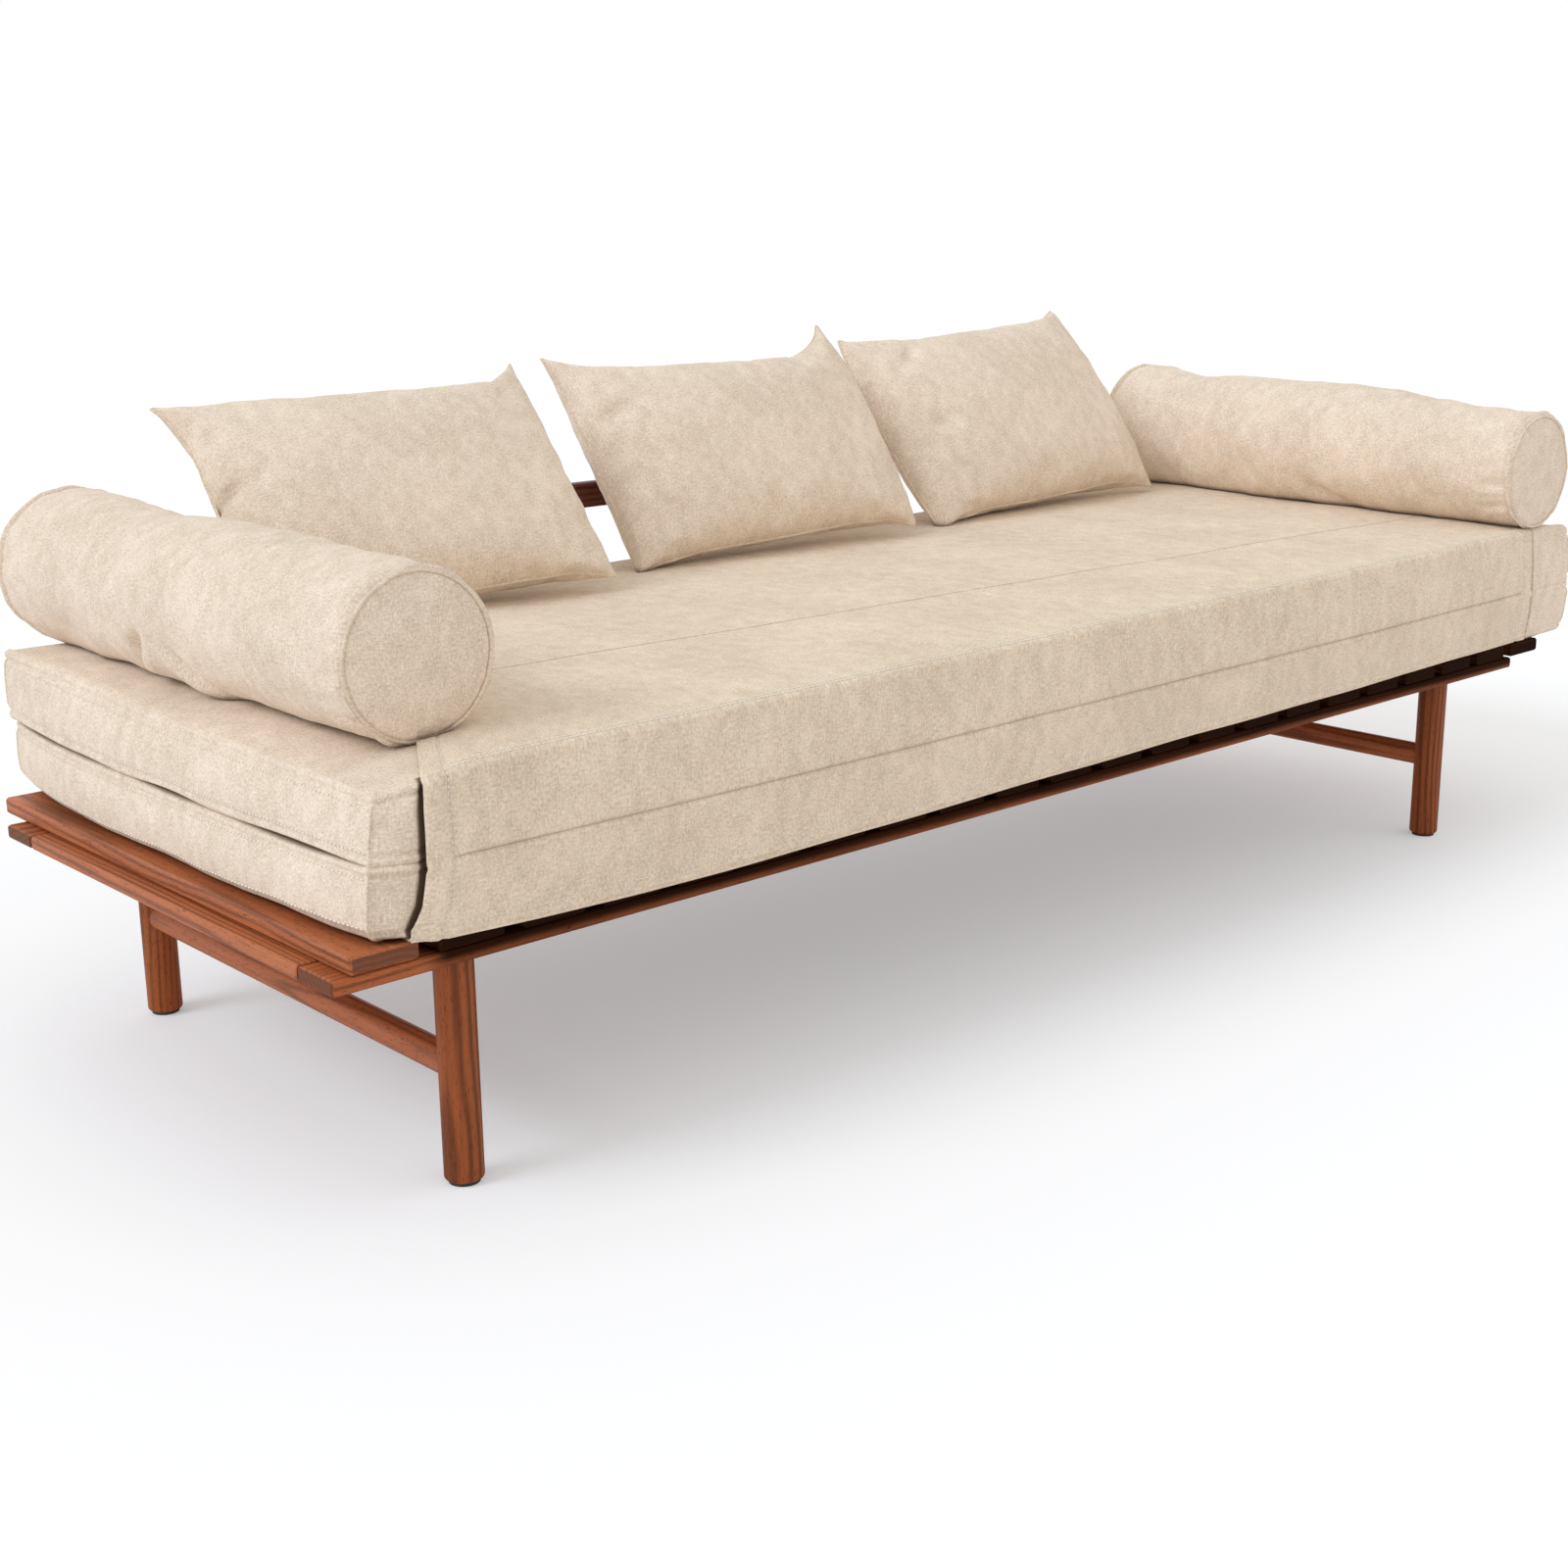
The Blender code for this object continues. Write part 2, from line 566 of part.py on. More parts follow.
def centre_assembly():
    """Puts the origin at the middle of the footprint."""
    bpy.context.view_layer.update()
    graph = bpy.context.evaluated_depsgraph_get()
    low, high = Vector((9, 9, 9)), Vector((-9, -9, -9))
    for obj in PARTS.objects:
        if obj.type == "MESH":
            shape = obj.evaluated_get(graph)
            mesh = shape.to_mesh()
            for vert in mesh.vertices:
                place = obj.matrix_world @ vert.co
                low = Vector(map(min, low, place))
                high = Vector(map(max, high, place))
            shape.to_mesh_clear()
    ROOT.location = (-(low.x + high.x) / 2, -(low.y + high.y) / 2, 0.0)
    bpy.context.view_layer.update()
    print("origin moved by", [round(c, 5) for c in ROOT.location])


lower_frame()
legs()
stretchers()
deck()
back()
mattress_layer("mattress_lower", MATTRESS_BOTTOM, MATTRESS_SEAM - SOFT_GAP / 2)
mattress_layer("mattress_upper", MATTRESS_SEAM + SOFT_GAP / 2, MATTRESS_TOP)
mattress_band()
bolster("bolster_left", MATTRESS_LEFT + LEFT_BOLSTER_FROM_END, MATTRESS_FRONT + LEFT_BOLSTER_FROM_FRONT)
bolster("bolster_right", MATTRESS_RIGHT - RIGHT_BOLSTER_FROM_END, MATTRESS_FRONT + RIGHT_BOLSTER_FROM_FRONT)
for cushion_name, from_left, lean, roll, turn in CUSHIONS:
    cushion(cushion_name, from_left, lean, roll, turn)
centre_assembly()
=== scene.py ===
"""Looks of the slatted sofa bed: stained beech, and a felted beige cover on mattress, bolsters and cushions.

Metres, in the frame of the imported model: +X along the length, the front towards -Y, +Z up.
"""
import math

import bmesh
import bpy
import numpy as np
from mathutils import Matrix, Vector, kdtree, noise
from mathutils.bvhtree import BVHTree


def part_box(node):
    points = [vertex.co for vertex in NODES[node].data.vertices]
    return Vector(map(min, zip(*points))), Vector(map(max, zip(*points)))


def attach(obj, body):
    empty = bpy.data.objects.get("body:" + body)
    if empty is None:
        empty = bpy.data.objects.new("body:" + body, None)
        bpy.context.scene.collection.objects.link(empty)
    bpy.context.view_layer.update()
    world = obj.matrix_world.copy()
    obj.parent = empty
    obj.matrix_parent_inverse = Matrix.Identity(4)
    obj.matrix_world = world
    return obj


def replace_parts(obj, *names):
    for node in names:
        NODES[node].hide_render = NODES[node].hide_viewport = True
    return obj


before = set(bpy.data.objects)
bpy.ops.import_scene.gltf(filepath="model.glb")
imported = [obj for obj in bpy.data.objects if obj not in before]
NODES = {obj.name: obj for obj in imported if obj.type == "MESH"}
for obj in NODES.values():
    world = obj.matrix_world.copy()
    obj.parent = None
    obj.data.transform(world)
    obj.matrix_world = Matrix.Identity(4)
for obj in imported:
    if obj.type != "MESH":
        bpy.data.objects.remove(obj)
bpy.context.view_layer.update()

# Camera, as the photograph was taken
VIEW_PLACE = Vector((-1.8802, -1.9105, 0.8663))
VIEW_FORWARD = Vector((0.64678, 0.71685, -0.26042))
VIEW_RIGHT = Vector((0.74057, -0.67190, -0.01024))
VIEW_LENS = 48.71
VIEW_SENSOR = 36.0

# Light
KEY_STRENGTH = 1.12
KEY_COLOUR = (0.80, 0.88, 1.0)
KEY_PLACE = Vector((-3.0, 0.0, 3.0))
KEY_WAY = Vector((0.74, -0.16, -0.65))
KEY_SPREAD = math.radians(26.0)
FILL_STRENGTH = 3.5
FILL_SIZE = 1.6
FILL_PLACE = Vector((2.3, -2.4, 1.7))
FILL_TARGET = Vector((0.9, -0.2, 0.35))
ROOM_LIGHT = 0.775
ROOM_COLOUR = (1.0, 0.98, 0.945, 1.0)
FLOOR_COLOUR = (0.880, 0.850, 0.850, 1.0)
FLOOR_GLOW = (0.84, 0.95, 1.0, 1.0)     # lifts the lit floor to white for the camera
FLOOR_GLOW_STRENGTH = 2.62
FLOOR_GLOW_SHARE = 0.12
FLOOR_RADIUS = 40.0

# The mattress as sewn, from the lower frame's front left corner on the floor
CORNER = Vector((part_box("front_rail")[0].x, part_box("front_rail")[0].y, 0.0))
DECK_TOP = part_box("slat_01")[1].z
SLAT_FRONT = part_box("slat_01")[0].y
MATTRESS_LEFT = CORNER.x + 0.058
MATTRESS_LENGTH = 2.006
MATTRESS_RIGHT = MATTRESS_LEFT + MATTRESS_LENGTH
MATTRESS_FRONT = CORNER.y + 0.005
MATTRESS_DEPTH = 0.733
MATTRESS_REAR = MATTRESS_FRONT + MATTRESS_DEPTH
LOWER_LAYER = 0.069
UPPER_LAYER = 0.060
LAYER_GAP = 0.0004              # from the fold to each layer
BAND_THICKNESS = 0.0025
BAND_WALL = BAND_THICKNESS * 0.8
MATTRESS_BOTTOM = DECK_TOP + BAND_THICKNESS + 0.0008
MATTRESS_SEAM = MATTRESS_BOTTOM + LOWER_LAYER
MATTRESS_TOP = MATTRESS_SEAM + UPPER_LAYER
LAYER_STEPS = (0.014, 0.014, 0.004)
LAYER_EDGE_STEPS = (0.0018, 0.0144)     # the finer step near edges, and how far in it goes
EDGE_ROUNDING = 0.006
RIGHT_ROUNDING = 1.3 * EDGE_ROUNDING
FOLD_ROUNDING = 0.003           # of each layer's edges along the fold
BAND_ROUNDING = 0.0050
MATTRESS_CROWN = 0.0235         # rise of the top from its left end to the middle of the length
RIGHT_RISE = 0.0045             # further rise from the middle to the right end
CROWN_FALL = 20                 # how close to the ends the crown falls off
RIGHT_FALL = 0.35               # share of that fall at the right end
REAR_FALL = 0.9                 # share of it that is missing at the rear left
DEPTH_CROWN = 0.006
FRONT_SWELL = 0.016
FRONT_TURN = 0.010              # how much further the front comes out at its left end than in the middle
CORNER_FLARE = 0.020            # how far the rear corners stand out past the posts
LEFT_FLARE = 0.036
SIDE_BULGE = 0.006
REAR_RISE = 0.012               # of the top's rear right corner
CORNER_SETBACK = 0.019          # of the front left corner, drawn in by its seams
CORNER_REACH = 0.045            # how far along the front that setback goes
END_SPREAD = 0.026              # how far the left end slumps out at the deck
END_TUCK = 0.011                # how far its lower edge is drawn in again
TUCK_HEIGHT = 0.11              # share of the height that is drawn in
RIGHT_SPREAD = 0.009            # how far the right end bulges
LIP_DROP = 0.010                # how far the front's lower edge hangs past the slats
SLACK = 0.0028                  # unevenness of the stuffing
RAIL_MARGIN = 0.012             # past the back rail's ends
BAND_LEFT = MATTRESS_LEFT + 0.038
BAND_RIGHT = MATTRESS_RIGHT - 0.109
BAND_LIFT = 0.0008              # cover to the band's inner side
BAND_SLANT = (-0.016, -0.007, -0.004, -0.004, -0.002)   # of its left edge at the front, from the bottom up
BAND_SLANT_HEIGHTS = (0.0, 0.25, 0.5, 0.85, 1.0)
BAND_SLANT_REACH = 0.4          # how far along the band its left edge's slant is felt
BAND_DRIFT = 0.055              # how far that edge has moved on at the rear of the top
BAND_DRIFT_REACH = 0.09         # how far from the front that takes
BAND_GAPE = 0.0060              # how far that edge stands off
BAND_SLOT = 0.012               # how deep the mattress is drawn in behind that edge
BAND_CROSS_SEAMS = (CORNER.x + 0.77, CORNER.x + 1.01, CORNER.x + 1.33)
TOP_SEAM = (0.262, 0.158)       # its lengthwise seam's distance from the front at both ends
HEM_WIDTH = 0.024
BAND_PULLS = {"fold": -0.0022, "lip": 0.0018, "hem": -0.0018, "flap": 0.0006, "pucker": 0.0008,
              "bottom hem": 0.0012, "edge": 0.0012, "cross seams": -0.0009, "tucks": -0.0022}  # outward
BAND_BILLOW = (0.0016, 0.0018)  # unevenness of its front and of its top
SEAM_DROP = 0.008               # from a layer's upper or lower face to its end panel's seam
SEAM_DEPTH = 0.0026             # how far that seam draws the cover in
SEAM_WIDTH = 0.0017
SEAM_SWELL = 0.0010             # how far the cover stands out beside it
SEAM_SWELL_WIDTH = 0.0025
CORNER_RIDGE = 0.0022           # height of the sewn ridge down each corner
CORNER_RIDGE_WIDTH = 0.0022
RIGHT_SHARE = 0.4               # how much of seams and ridges shows on the right half
PUCKER = 0.0013                 # of the layers' covers at the ends
FINE_PUCKER = 0.0008
PUCKER_REACH = 0.030
GROOVE_DEPTH = 0.0040           # of the front beside the band's right edge
GROOVE_WIDTH = 0.0022
GROOVE_BULGE = 0.0045           # how far the front stands out past that groove
REST_HEIGHT = 0.08              # above the square-cut top, under which a loose piece can touch the mattress
PROBE_HEIGHT = 0.4              # above it, from where the touching place is sought

# Painted shade on the covers in creases and where they rest: how dark, from 0 to 1
FOLD_DARK = 0.85                # between the layers at their ends
FRONT_FOLD_DARK = 0.5           # between them on the front, right of the band
DECK_DARK = 0.8                 # along the left end's lower edge
SLOT_DARK = 0.9                 # behind the band's left edge
GROOVE_DARK = 0.85              # beside its right edge
BAND_FOLD_DARK = 0.28
BAND_HEM_DARK = 0.20
TRIM_DARK = 0.85
BOLSTER_DARK = 0.90
CAP_SEAM_DARK = 0.20
CUSHION_DARK = 0.75

# Stitching and piping
STITCH_PITCH = 0.0060
STITCH_LENGTH = 0.0052
THREAD = 0.0015
STITCH_LIFT = 0.0004
STITCH_OFFSET = 0.004           # from an end panel's seam
PIPING_STEP = 0.006
TOP_SEAM_RADIUS = 0.0004
BAND_PIPING_RADIUS = 0.0019
LAYER_WELT_RADIUS = 0.0011
LAYER_WELT_LIFT = 0.0002
CAP_WELT_RADIUS = 0.0018
CUSHION_EDGE_RADIUS = 0.0016

# Bolsters: seed, then the middle's swell, a dip and its place, how much fuller the rear is and the front's
# reach, then dents, each with its share of the length, its angle, depth, length, width and slope
BOLSTERS = {
    "bolster_left": (3, (0.004, 0.004, 0.66, 0.0045, 0.0), (
        (0.57, 212, 0.016, 0.022, 0.009, 60), (0.42, 224, 0.012, 0.050, 0.008, -35),
        (0.80, 215, 0.006, 0.04, 0.020, 20), (0.035, 185, 0.003, 0.014, 0.004, 10),
        (0.035, 165, 0.003, 0.014, 0.004, 0), (0.05, -48, 0.006, 0.030, 0.007, 30))),
    "bolster_right": (9, (0.013, 0.008, 0.83, 0.0195, 0.017), (
        (0.42, 222, 0.006, 0.05, 0.012, -30), (0.62, 200, 0.004, 0.06, 0.02, 30),
        (0.05, 190, 0.003, 0.02, 0.005, 0), (0.05, 215, 0.004, 0.02, 0.006, 15))),
}
BOLSTER_SIDES = 132
BOLSTER_WELT = 0.007            # the stitched ridge beside an end cap
BOLSTER_DOME = 0.010            # how far an end cap stands out
BOLSTER_SHOULDER = 0.018        # over which the body runs in to its cap
BOLSTER_SAG = 0.004
BOLSTER_GATHER = 0.0014         # of the cloth drawn up beside a cap
BOLSTER_UNEVENNESS = (0.0030, 0.0012, 0.0022)   # broad, fine, and twisted round the body
WELT_HEIGHT = 0.0034
WELT_STITCHES = BOLSTER_WELT + 0.001    # from a cap's seam to the stitches that hold the ridge
WELT_GROOVES = (0.0024, 0.0032)         # depths at that seam and at those stitches
WELT_GROOVE_WIDTH = 0.0016
CAP_PUCKER = 0.0012
CAP_DITCH = 0.0022              # how far a cap is drawn in beside its seam
CAP_UNEVENNESS = 0.0018
CAP_SHARE = 0.965               # an end cap's radius against the body's
CAP_RINGS = (*np.linspace(0, 0.88, 11), 0.91, 0.935, 0.955, 0.972, 0.987, 1.0)

# Cushions: seed, then how far the top, bottom, left and right edges are drawn in, and how much more so on the
# right of the top, then dents, each with its place across and up from the middle, depth, length, width, slope
CUSHIONS = {
    "cushion_left": (2, (0.130, 0.05, 0.08, 0.0, 0.65), (
        (-0.86, 0.05, 0.020, 0.030, 0.008, 12), (-0.80, 0.50, 0.008, 0.012, 0.030, 40),
        (0.80, 0.62, 0.005, 0.04, 0.02, 50))),
    "cushion_middle": (5, (0.240, 0.06, 0.02, -0.045, 0.40), (
        (0.60, 0.66, 0.009, 0.04, 0.012, -40), (-0.80, 0.30, 0.009, 0.03, 0.012, 15),
        (-0.05, -0.76, 0.008, 0.03, 0.014, 60))),
    "cushion_right": (7, (0.085, 0.06, -0.045, -0.045, 0.1), (
        (-0.66, 0.60, 0.009, 0.04, 0.012, 40), (-0.72, -0.1, 0.008, 0.03, 0.012, 10),
        (-0.1, -0.78, 0.007, 0.05, 0.014, 20))),
}
CUSHION_CELLS = (84, 60)
CUSHION_FULLNESS = 1.030        # the cut cloth against the stuffed cushion
CUSHION_CROWN = 0.92            # thickness before the stuffing's pressure, against the solid's
CUSHION_PRESSURE = 0.9
SETTLING_FRAMES = 24
SETTLING_CAP = 0.020
EAR_SHARPNESS = 4               # how close to its corners a cushion's edge turns out
CUSHION_RUFFLE = 0.0016         # unevenness before it settles
CUSHION_UNEVENNESS = (0.0022, 0.0007)   # broad and fine, after it has settled
CUSHION_GATHER = 0.0030         # of the cloth beside its rim
LEAN_MARGIN = 0.02              # past the back rail's ends, where a cushion still leans on it
LEAN_REACH = 0.06               # how far above and below the rail its back is pressed
LEAN_SLOPE = 1.1
SOFT_GAP = 0.0006
CONTACT_SHADE = 0.0045          # height over which painted shade darkens a cover where it rests

# Timber
TURNED_SIDES = 64
FOOT_ROUNDING = 0.004
TENON_RADIUS = 0.0130
SHOULDER_GAP = 0.0003           # from a leg's shoulder to the rail above it
SHOULDER_BEVEL = 0.0005
STRETCHER_HOLD = 0.006          # from a leg's axis to the end of the stretcher in it
SCREW_RADIUS = 0.0040
SCREW_DEPTH = 0.0006
SCREW_DROP = 0.0002             # below a rail's underside
SCREW_CLEARANCE = 0.04          # on both sides of a leg's axis, where no screw goes
SCREW_MARGIN = 0.01             # from a rail's ends
RING_WIDTH = 0.0072
STAIN = (0.310, 0.086, 0.026)
BOARD_STAIN = (0.365, 0.107, 0.035)
LEG_STAIN = (0.272, 0.072, 0.019)
# painted shade: a darker copy of the stain for the back rail and its posts, which stand in shade
SHADED_STAIN = (0.110, 0.032, 0.020)
PAINTED_SHADOW = (0.010, 0.0042, 0.0026, 1.0)    # painted shadow of the mattress's overhang, on the front rail and the slats' front ends
BOARD_GLOSS = 0.36
SLAT_PITCH = (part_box("slat_01")[0].x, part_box("slat_02")[0].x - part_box("slat_01")[0].x)
# where the painted shadow on the front rail begins: a height, and a place along the rail
RAIL_SHADOW = (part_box("front_rail")[0].z - 0.004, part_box("slat_01")[1].x)


class Value:
    """An output of a node; arithmetic on it adds Math nodes."""

    def __init__(self, nodes, socket):
        self.nodes = nodes
        self.socket = socket

    def math(self, operation, *others):
        return self.nodes.add("ShaderNodeMath", dict(enumerate((self, *others))), {"operation": operation})

    def __add__(self, other):
        return self.math("ADD", other)

    def __sub__(self, other):
        return self.math("SUBTRACT", other)

    def __rsub__(self, other):
        return self.nodes.add("ShaderNodeMath", {0: other, 1: self}, {"operation": "SUBTRACT"})

    def __mul__(self, other):
        return self.math("MULTIPLY", other)

    def __truediv__(self, other):
        return self.math("DIVIDE", other)

    def __pow__(self, other):
        return self.math("POWER", other)

    def __abs__(self):
        return self.math("ABSOLUTE")

    def step(self, low, high):
        """0 below low, 1 above high, smooth between."""
        return self.nodes.add("ShaderNodeMapRange", {"Value": self, "From Min": low, "From Max": high},
                              {"interpolation_type": "SMOOTHSTEP"})


class Nodes:
    """A node tree that is written as calls."""

    def __init__(self, tree):
        self.tree = tree
        tree.nodes.clear()

    def add(self, kind, inputs=None, settings=None, output=0):
        """Makes a node, sets it, then sets or links its inputs; returns one of its outputs."""
        made = self.tree.nodes.new(kind)
        for key, value in (settings or {}).items():
            setattr(made, key, value)
        for key, value in (inputs or {}).items():
            if isinstance(value, Value):
                self.tree.links.new(value.socket, made.inputs[key])
            else:
                made.inputs[key].default_value = value
        return Value(self, made.outputs[output]) if made.outputs else made

    def split(self, vector):
        """The three components of a vector."""
        made = self.add("ShaderNodeSeparateXYZ", {0: vector})
        return [Value(self, socket) for socket in made.socket.node.outputs]

    def join(self, *parts):
        return self.add("ShaderNodeCombineXYZ", dict(enumerate(parts)))

    def place(self):
        return self.add("ShaderNodeTexCoord", output="Object")

    def stretch(self, vector, scale):
        return self.add("ShaderNodeVectorMath", {0: vector, 1: scale}, {"operation": "MULTIPLY"})

    def noise(self, vector, detail=2.0, rough=0.5):
        """Noise from 0 to 1 with features of about one unit of the vector."""
        inputs = {"Vector": vector, "Scale": 1.0, "Detail": detail, "Roughness": rough}
        return self.add("ShaderNodeTexNoise", inputs, {"noise_dimensions": "3D"})

    def mix(self, factor, first, second):
        """From the first colour to the second."""
        return self.add("ShaderNodeMix", {0: factor, 6: first, 7: second}, {"data_type": "RGBA"}, output=2)

    def bump(self, height, strength, distance):
        return self.add("ShaderNodeBump", {"Strength": strength, "Distance": distance, "Height": height})

    def principled(self, inputs):
        return self.add("ShaderNodeBsdfPrincipled", inputs)

    def blend(self, factor, first, second):
        """From the first shader to the second."""
        return self.add("ShaderNodeMixShader", {0: factor, 1: first, 2: second})

    def surface(self, shader):
        self.add("ShaderNodeOutputMaterial", {"Surface": shader})


def finish(name):
    material = bpy.data.materials.new(name)
    material.use_nodes = True
    return material, Nodes(material.node_tree)


def tint(colour, factors):
    """A colour times a factor, or times one for each channel."""
    return (*(np.array(colour) * factors), 1.0)


def felted_cover(name, colour):
    """Brushed woven cover: fine slubby threads both ways, a soft mottled nap, painted shade in creases and
    where it rests, a faint sheen.
    """
    material, nodes = finish(name)
    flat = nodes.add("ShaderNodeUVMap", settings={"uv_map": "pattern"})
    grain = nodes.noise(nodes.stretch(flat, (420.0, 380.0, 1.0)), 2.0, 0.6)
    warp = nodes.noise(nodes.stretch(flat, (900.0, 105.0, 1.0)))
    weft = nodes.noise(nodes.stretch(flat, (105.0, 900.0, 1.0)))
    nap = nodes.noise(nodes.stretch(flat, (58.0, 40.0, 1.0)), 4.0, 0.6)
    cloud = nodes.noise(nodes.stretch(flat, (8.0, 6.0, 1.0)))
    threads = (warp + weft) * 0.5
    tone = (grain - 0.5) * 1.25 + (threads - 0.5) * 1.35 + (nap - 0.5) * 0.74 + (cloud - 0.5) * 0.52
    dark = tint(colour, (0.74, 0.71, 0.66))
    light = tint(colour, (1.17, 1.18, 1.20))
    # painted shade: the near-black colour that the shade attribute below mixes in, in creases and where
    # pieces rest
    deep = tint(colour, (0.16, 0.105, 0.07))
    crease = nodes.add("ShaderNodeAttribute", settings={"attribute_name": "crease"}, output="Fac")
    height = grain * 0.5 + threads * 0.8 + nap * 0.4
    nodes.surface(nodes.principled({
        "Base Color": nodes.mix(crease, nodes.mix(tone.step(-0.55, 0.55), dark, light), deep),
        "Roughness": 0.92, "Sheen Weight": 0.10, "Sheen Roughness": 0.45,
        "Sheen Tint": (1.0, 0.95, 0.88, 1.0), "Specular IOR Level": 0.2,
        "Normal": nodes.bump(height, 0.35, 0.0007)}))
    return material


def stained_beech(name, grain, tone, gloss=0.22, pitch=None, pooled=None):
    """Stained beech whose grain runs along one axis: ring figure, short ray flecks and darker end grain.

    A pitch gives each board of a row a figure of its own, and paints a shadow on the front ends of all but
    the first;
    the last argument holds the height from which a painted shadow blackens the wood and the place where that
    starts.
    """
    material, nodes = finish(name)
    along_axis = "XYZ".index(grain)
    across_axis, through_axis = [i for i in range(3) if i != along_axis]
    place = nodes.split(nodes.place())
    along, across, through = place[along_axis], place[across_axis], place[through_axis]
    if pitch:
        left, step = pitch
        board = ((across - left) / step).math("FLOOR")
        across = across - left - (board + 0.38) * step
        chance = nodes.add("ShaderNodeTexWhiteNoise", {"W": board + 3.7}, {"noise_dimensions": "1D"})
    else:
        chance = nodes.add("ShaderNodeObjectInfo", output="Random")
    run = along + chance * 9.0

    def figure(crosswise, lengthwise, detail=2.0, rough=0.5):
        """Noise with that many features per metre across the grain and along it."""
        spot = nodes.join(across * crosswise, through * crosswise, run * lengthwise)
        return nodes.noise(spot, detail, rough)

    drift = figure(11.0, 1.7)
    ripple = figure(60.0, 9.0)
    far = through + 0.045 + chance * 0.03
    side = across + (chance - 0.5) * 0.03
    radius = (side * side + far * far) ** 0.5 + (drift - 0.5) * 0.035 + (ripple - 0.5) * 0.004
    ring = (radius * (2 * math.pi / RING_WIDTH)).math("SINE") * 0.5 + 0.5
    fleck = figure(1000.0, 110.0, 1.0).step(0.60, 0.72)
    streak = figure(230.0, 7.0, 3.0, 0.6)
    pores = figure(900.0, 0.0)
    normal = nodes.split(nodes.add("ShaderNodeNewGeometry", output="True Normal"))[along_axis]
    end = abs(normal).step(0.75, 0.92)
    light, dark, deep = tint(tone, 1.42), tint(tone, 0.55), tint(tone, 0.24)
    shade = ring ** 2.2 * 0.35 + streak * 0.70 + (drift - 0.5) * 0.35 + (chance - 0.5) * 0.25
    colour = nodes.mix(shade.step(0.17, 0.83), light, dark)
    colour = nodes.mix(fleck * (1.0 - end) * 0.70, colour, deep)
    cut = nodes.mix(pores.step(0.35, 0.7) * 0.6 + ring * 0.3, dark, deep)
    height = (1.0 - fleck) * 0.6 + streak * 0.4
    wood = nodes.principled({
        "Base Color": nodes.mix(end * 0.90, colour, cut), "Roughness": fleck * 0.14 + streak * 0.10 + 0.40,
        "Specular IOR Level": gloss, "Normal": nodes.bump(height, 0.12, 0.0004)})
    # painted shadow under the mattress's overhang: near-black on the slats' front ends and the front rail's
    # upper part
    if pitch or pooled:
        if pitch:
            shadow_mask = (1.0 - (along - SLAT_FRONT).step(0.0, 0.045)) * board.step(0.4, 0.6)
        else:
            shadow_mask = (through - pooled[0]).step(0.0, 0.015) * (along - pooled[1]).step(0.0, 0.03)
        shadow_paint = nodes.principled({"Base Color": PAINTED_SHADOW, "Roughness": 0.9, "Specular IOR Level": 0.0})
        wood = nodes.blend(shadow_mask * 0.94, wood, shadow_paint)
    nodes.surface(wood)
    return material


def speckled(name, fineness, detail, rough, tones, others):
    """A plain finish that wanders between two tones; others makes its further inputs from the speckle."""
    material, nodes = finish(name)
    speckle = nodes.noise(nodes.stretch(nodes.place(), (fineness,) * 3), detail, rough)
    colour = nodes.mix(speckle.step(0.3, 0.7), *((*tone, 1.0) for tone in tones))
    nodes.surface(nodes.principled({"Base Color": colour, **others(nodes, speckle)}))
    return material


COVER = felted_cover("felted_cover", (0.836, 0.714, 0.590))
BAND_CLOTH = felted_cover("felted_band", (0.812, 0.690, 0.552))
THREAD_FINISH = speckled("cream_thread", 1500.0, 2.0, 0.5, ((0.72, 0.684, 0.612), (1.0, 0.95, 0.85)),
                         lambda nodes, twist: {"Roughness": 0.75})
# painted shadow on the front rail's upper part
BEECH_FRONT = stained_beech("beech_front_rail", "X", STAIN, pooled=RAIL_SHADOW)
BEECH_ALONG_X = stained_beech("beech_along_x", "X", STAIN)
BEECH_ALONG_Y = stained_beech("beech_along_y", "Y", BOARD_STAIN, BOARD_GLOSS)
BEECH_SLATS = stained_beech("beech_slats", "Y", BOARD_STAIN, BOARD_GLOSS, pitch=SLAT_PITCH)
BEECH_ALONG_Z = stained_beech("beech_along_z", "Z", LEG_STAIN)
# painted shade: the back rail and posts in a darker copy of the stain
BACK_BEECH_X = stained_beech("back_beech_along_x", "X", SHADED_STAIN)
BACK_BEECH_Z = stained_beech("back_beech_along_z", "Z", SHADED_STAIN)
GLIDE_FELT = speckled("glide_felt", 900.0, 4.0, 0.7, ((0.030, 0.028, 0.026), (0.085, 0.078, 0.070)),
                      lambda nodes, fibre: {"Roughness": 0.95, "Normal": nodes.bump(fibre, 0.4, 0.0008)})
SCREW_ZINC = speckled("zinc_screw", 700.0, 3.0, 0.5, ((0.42, 0.40, 0.34), (0.62, 0.59, 0.50)),
                      lambda nodes, wear: {"Metallic": 1.0, "Roughness": wear * 0.2 + 0.28})


def add_object(name, data):
    obj = bpy.data.objects.new(name, data)
    bpy.context.scene.collection.objects.link(obj)
    return obj


def link_piece(name, mesh, body, material=None):
    obj = add_object(name, mesh)
    if material:
        mesh.materials.clear()
        mesh.materials.append(material)
    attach(obj, body)
    return obj


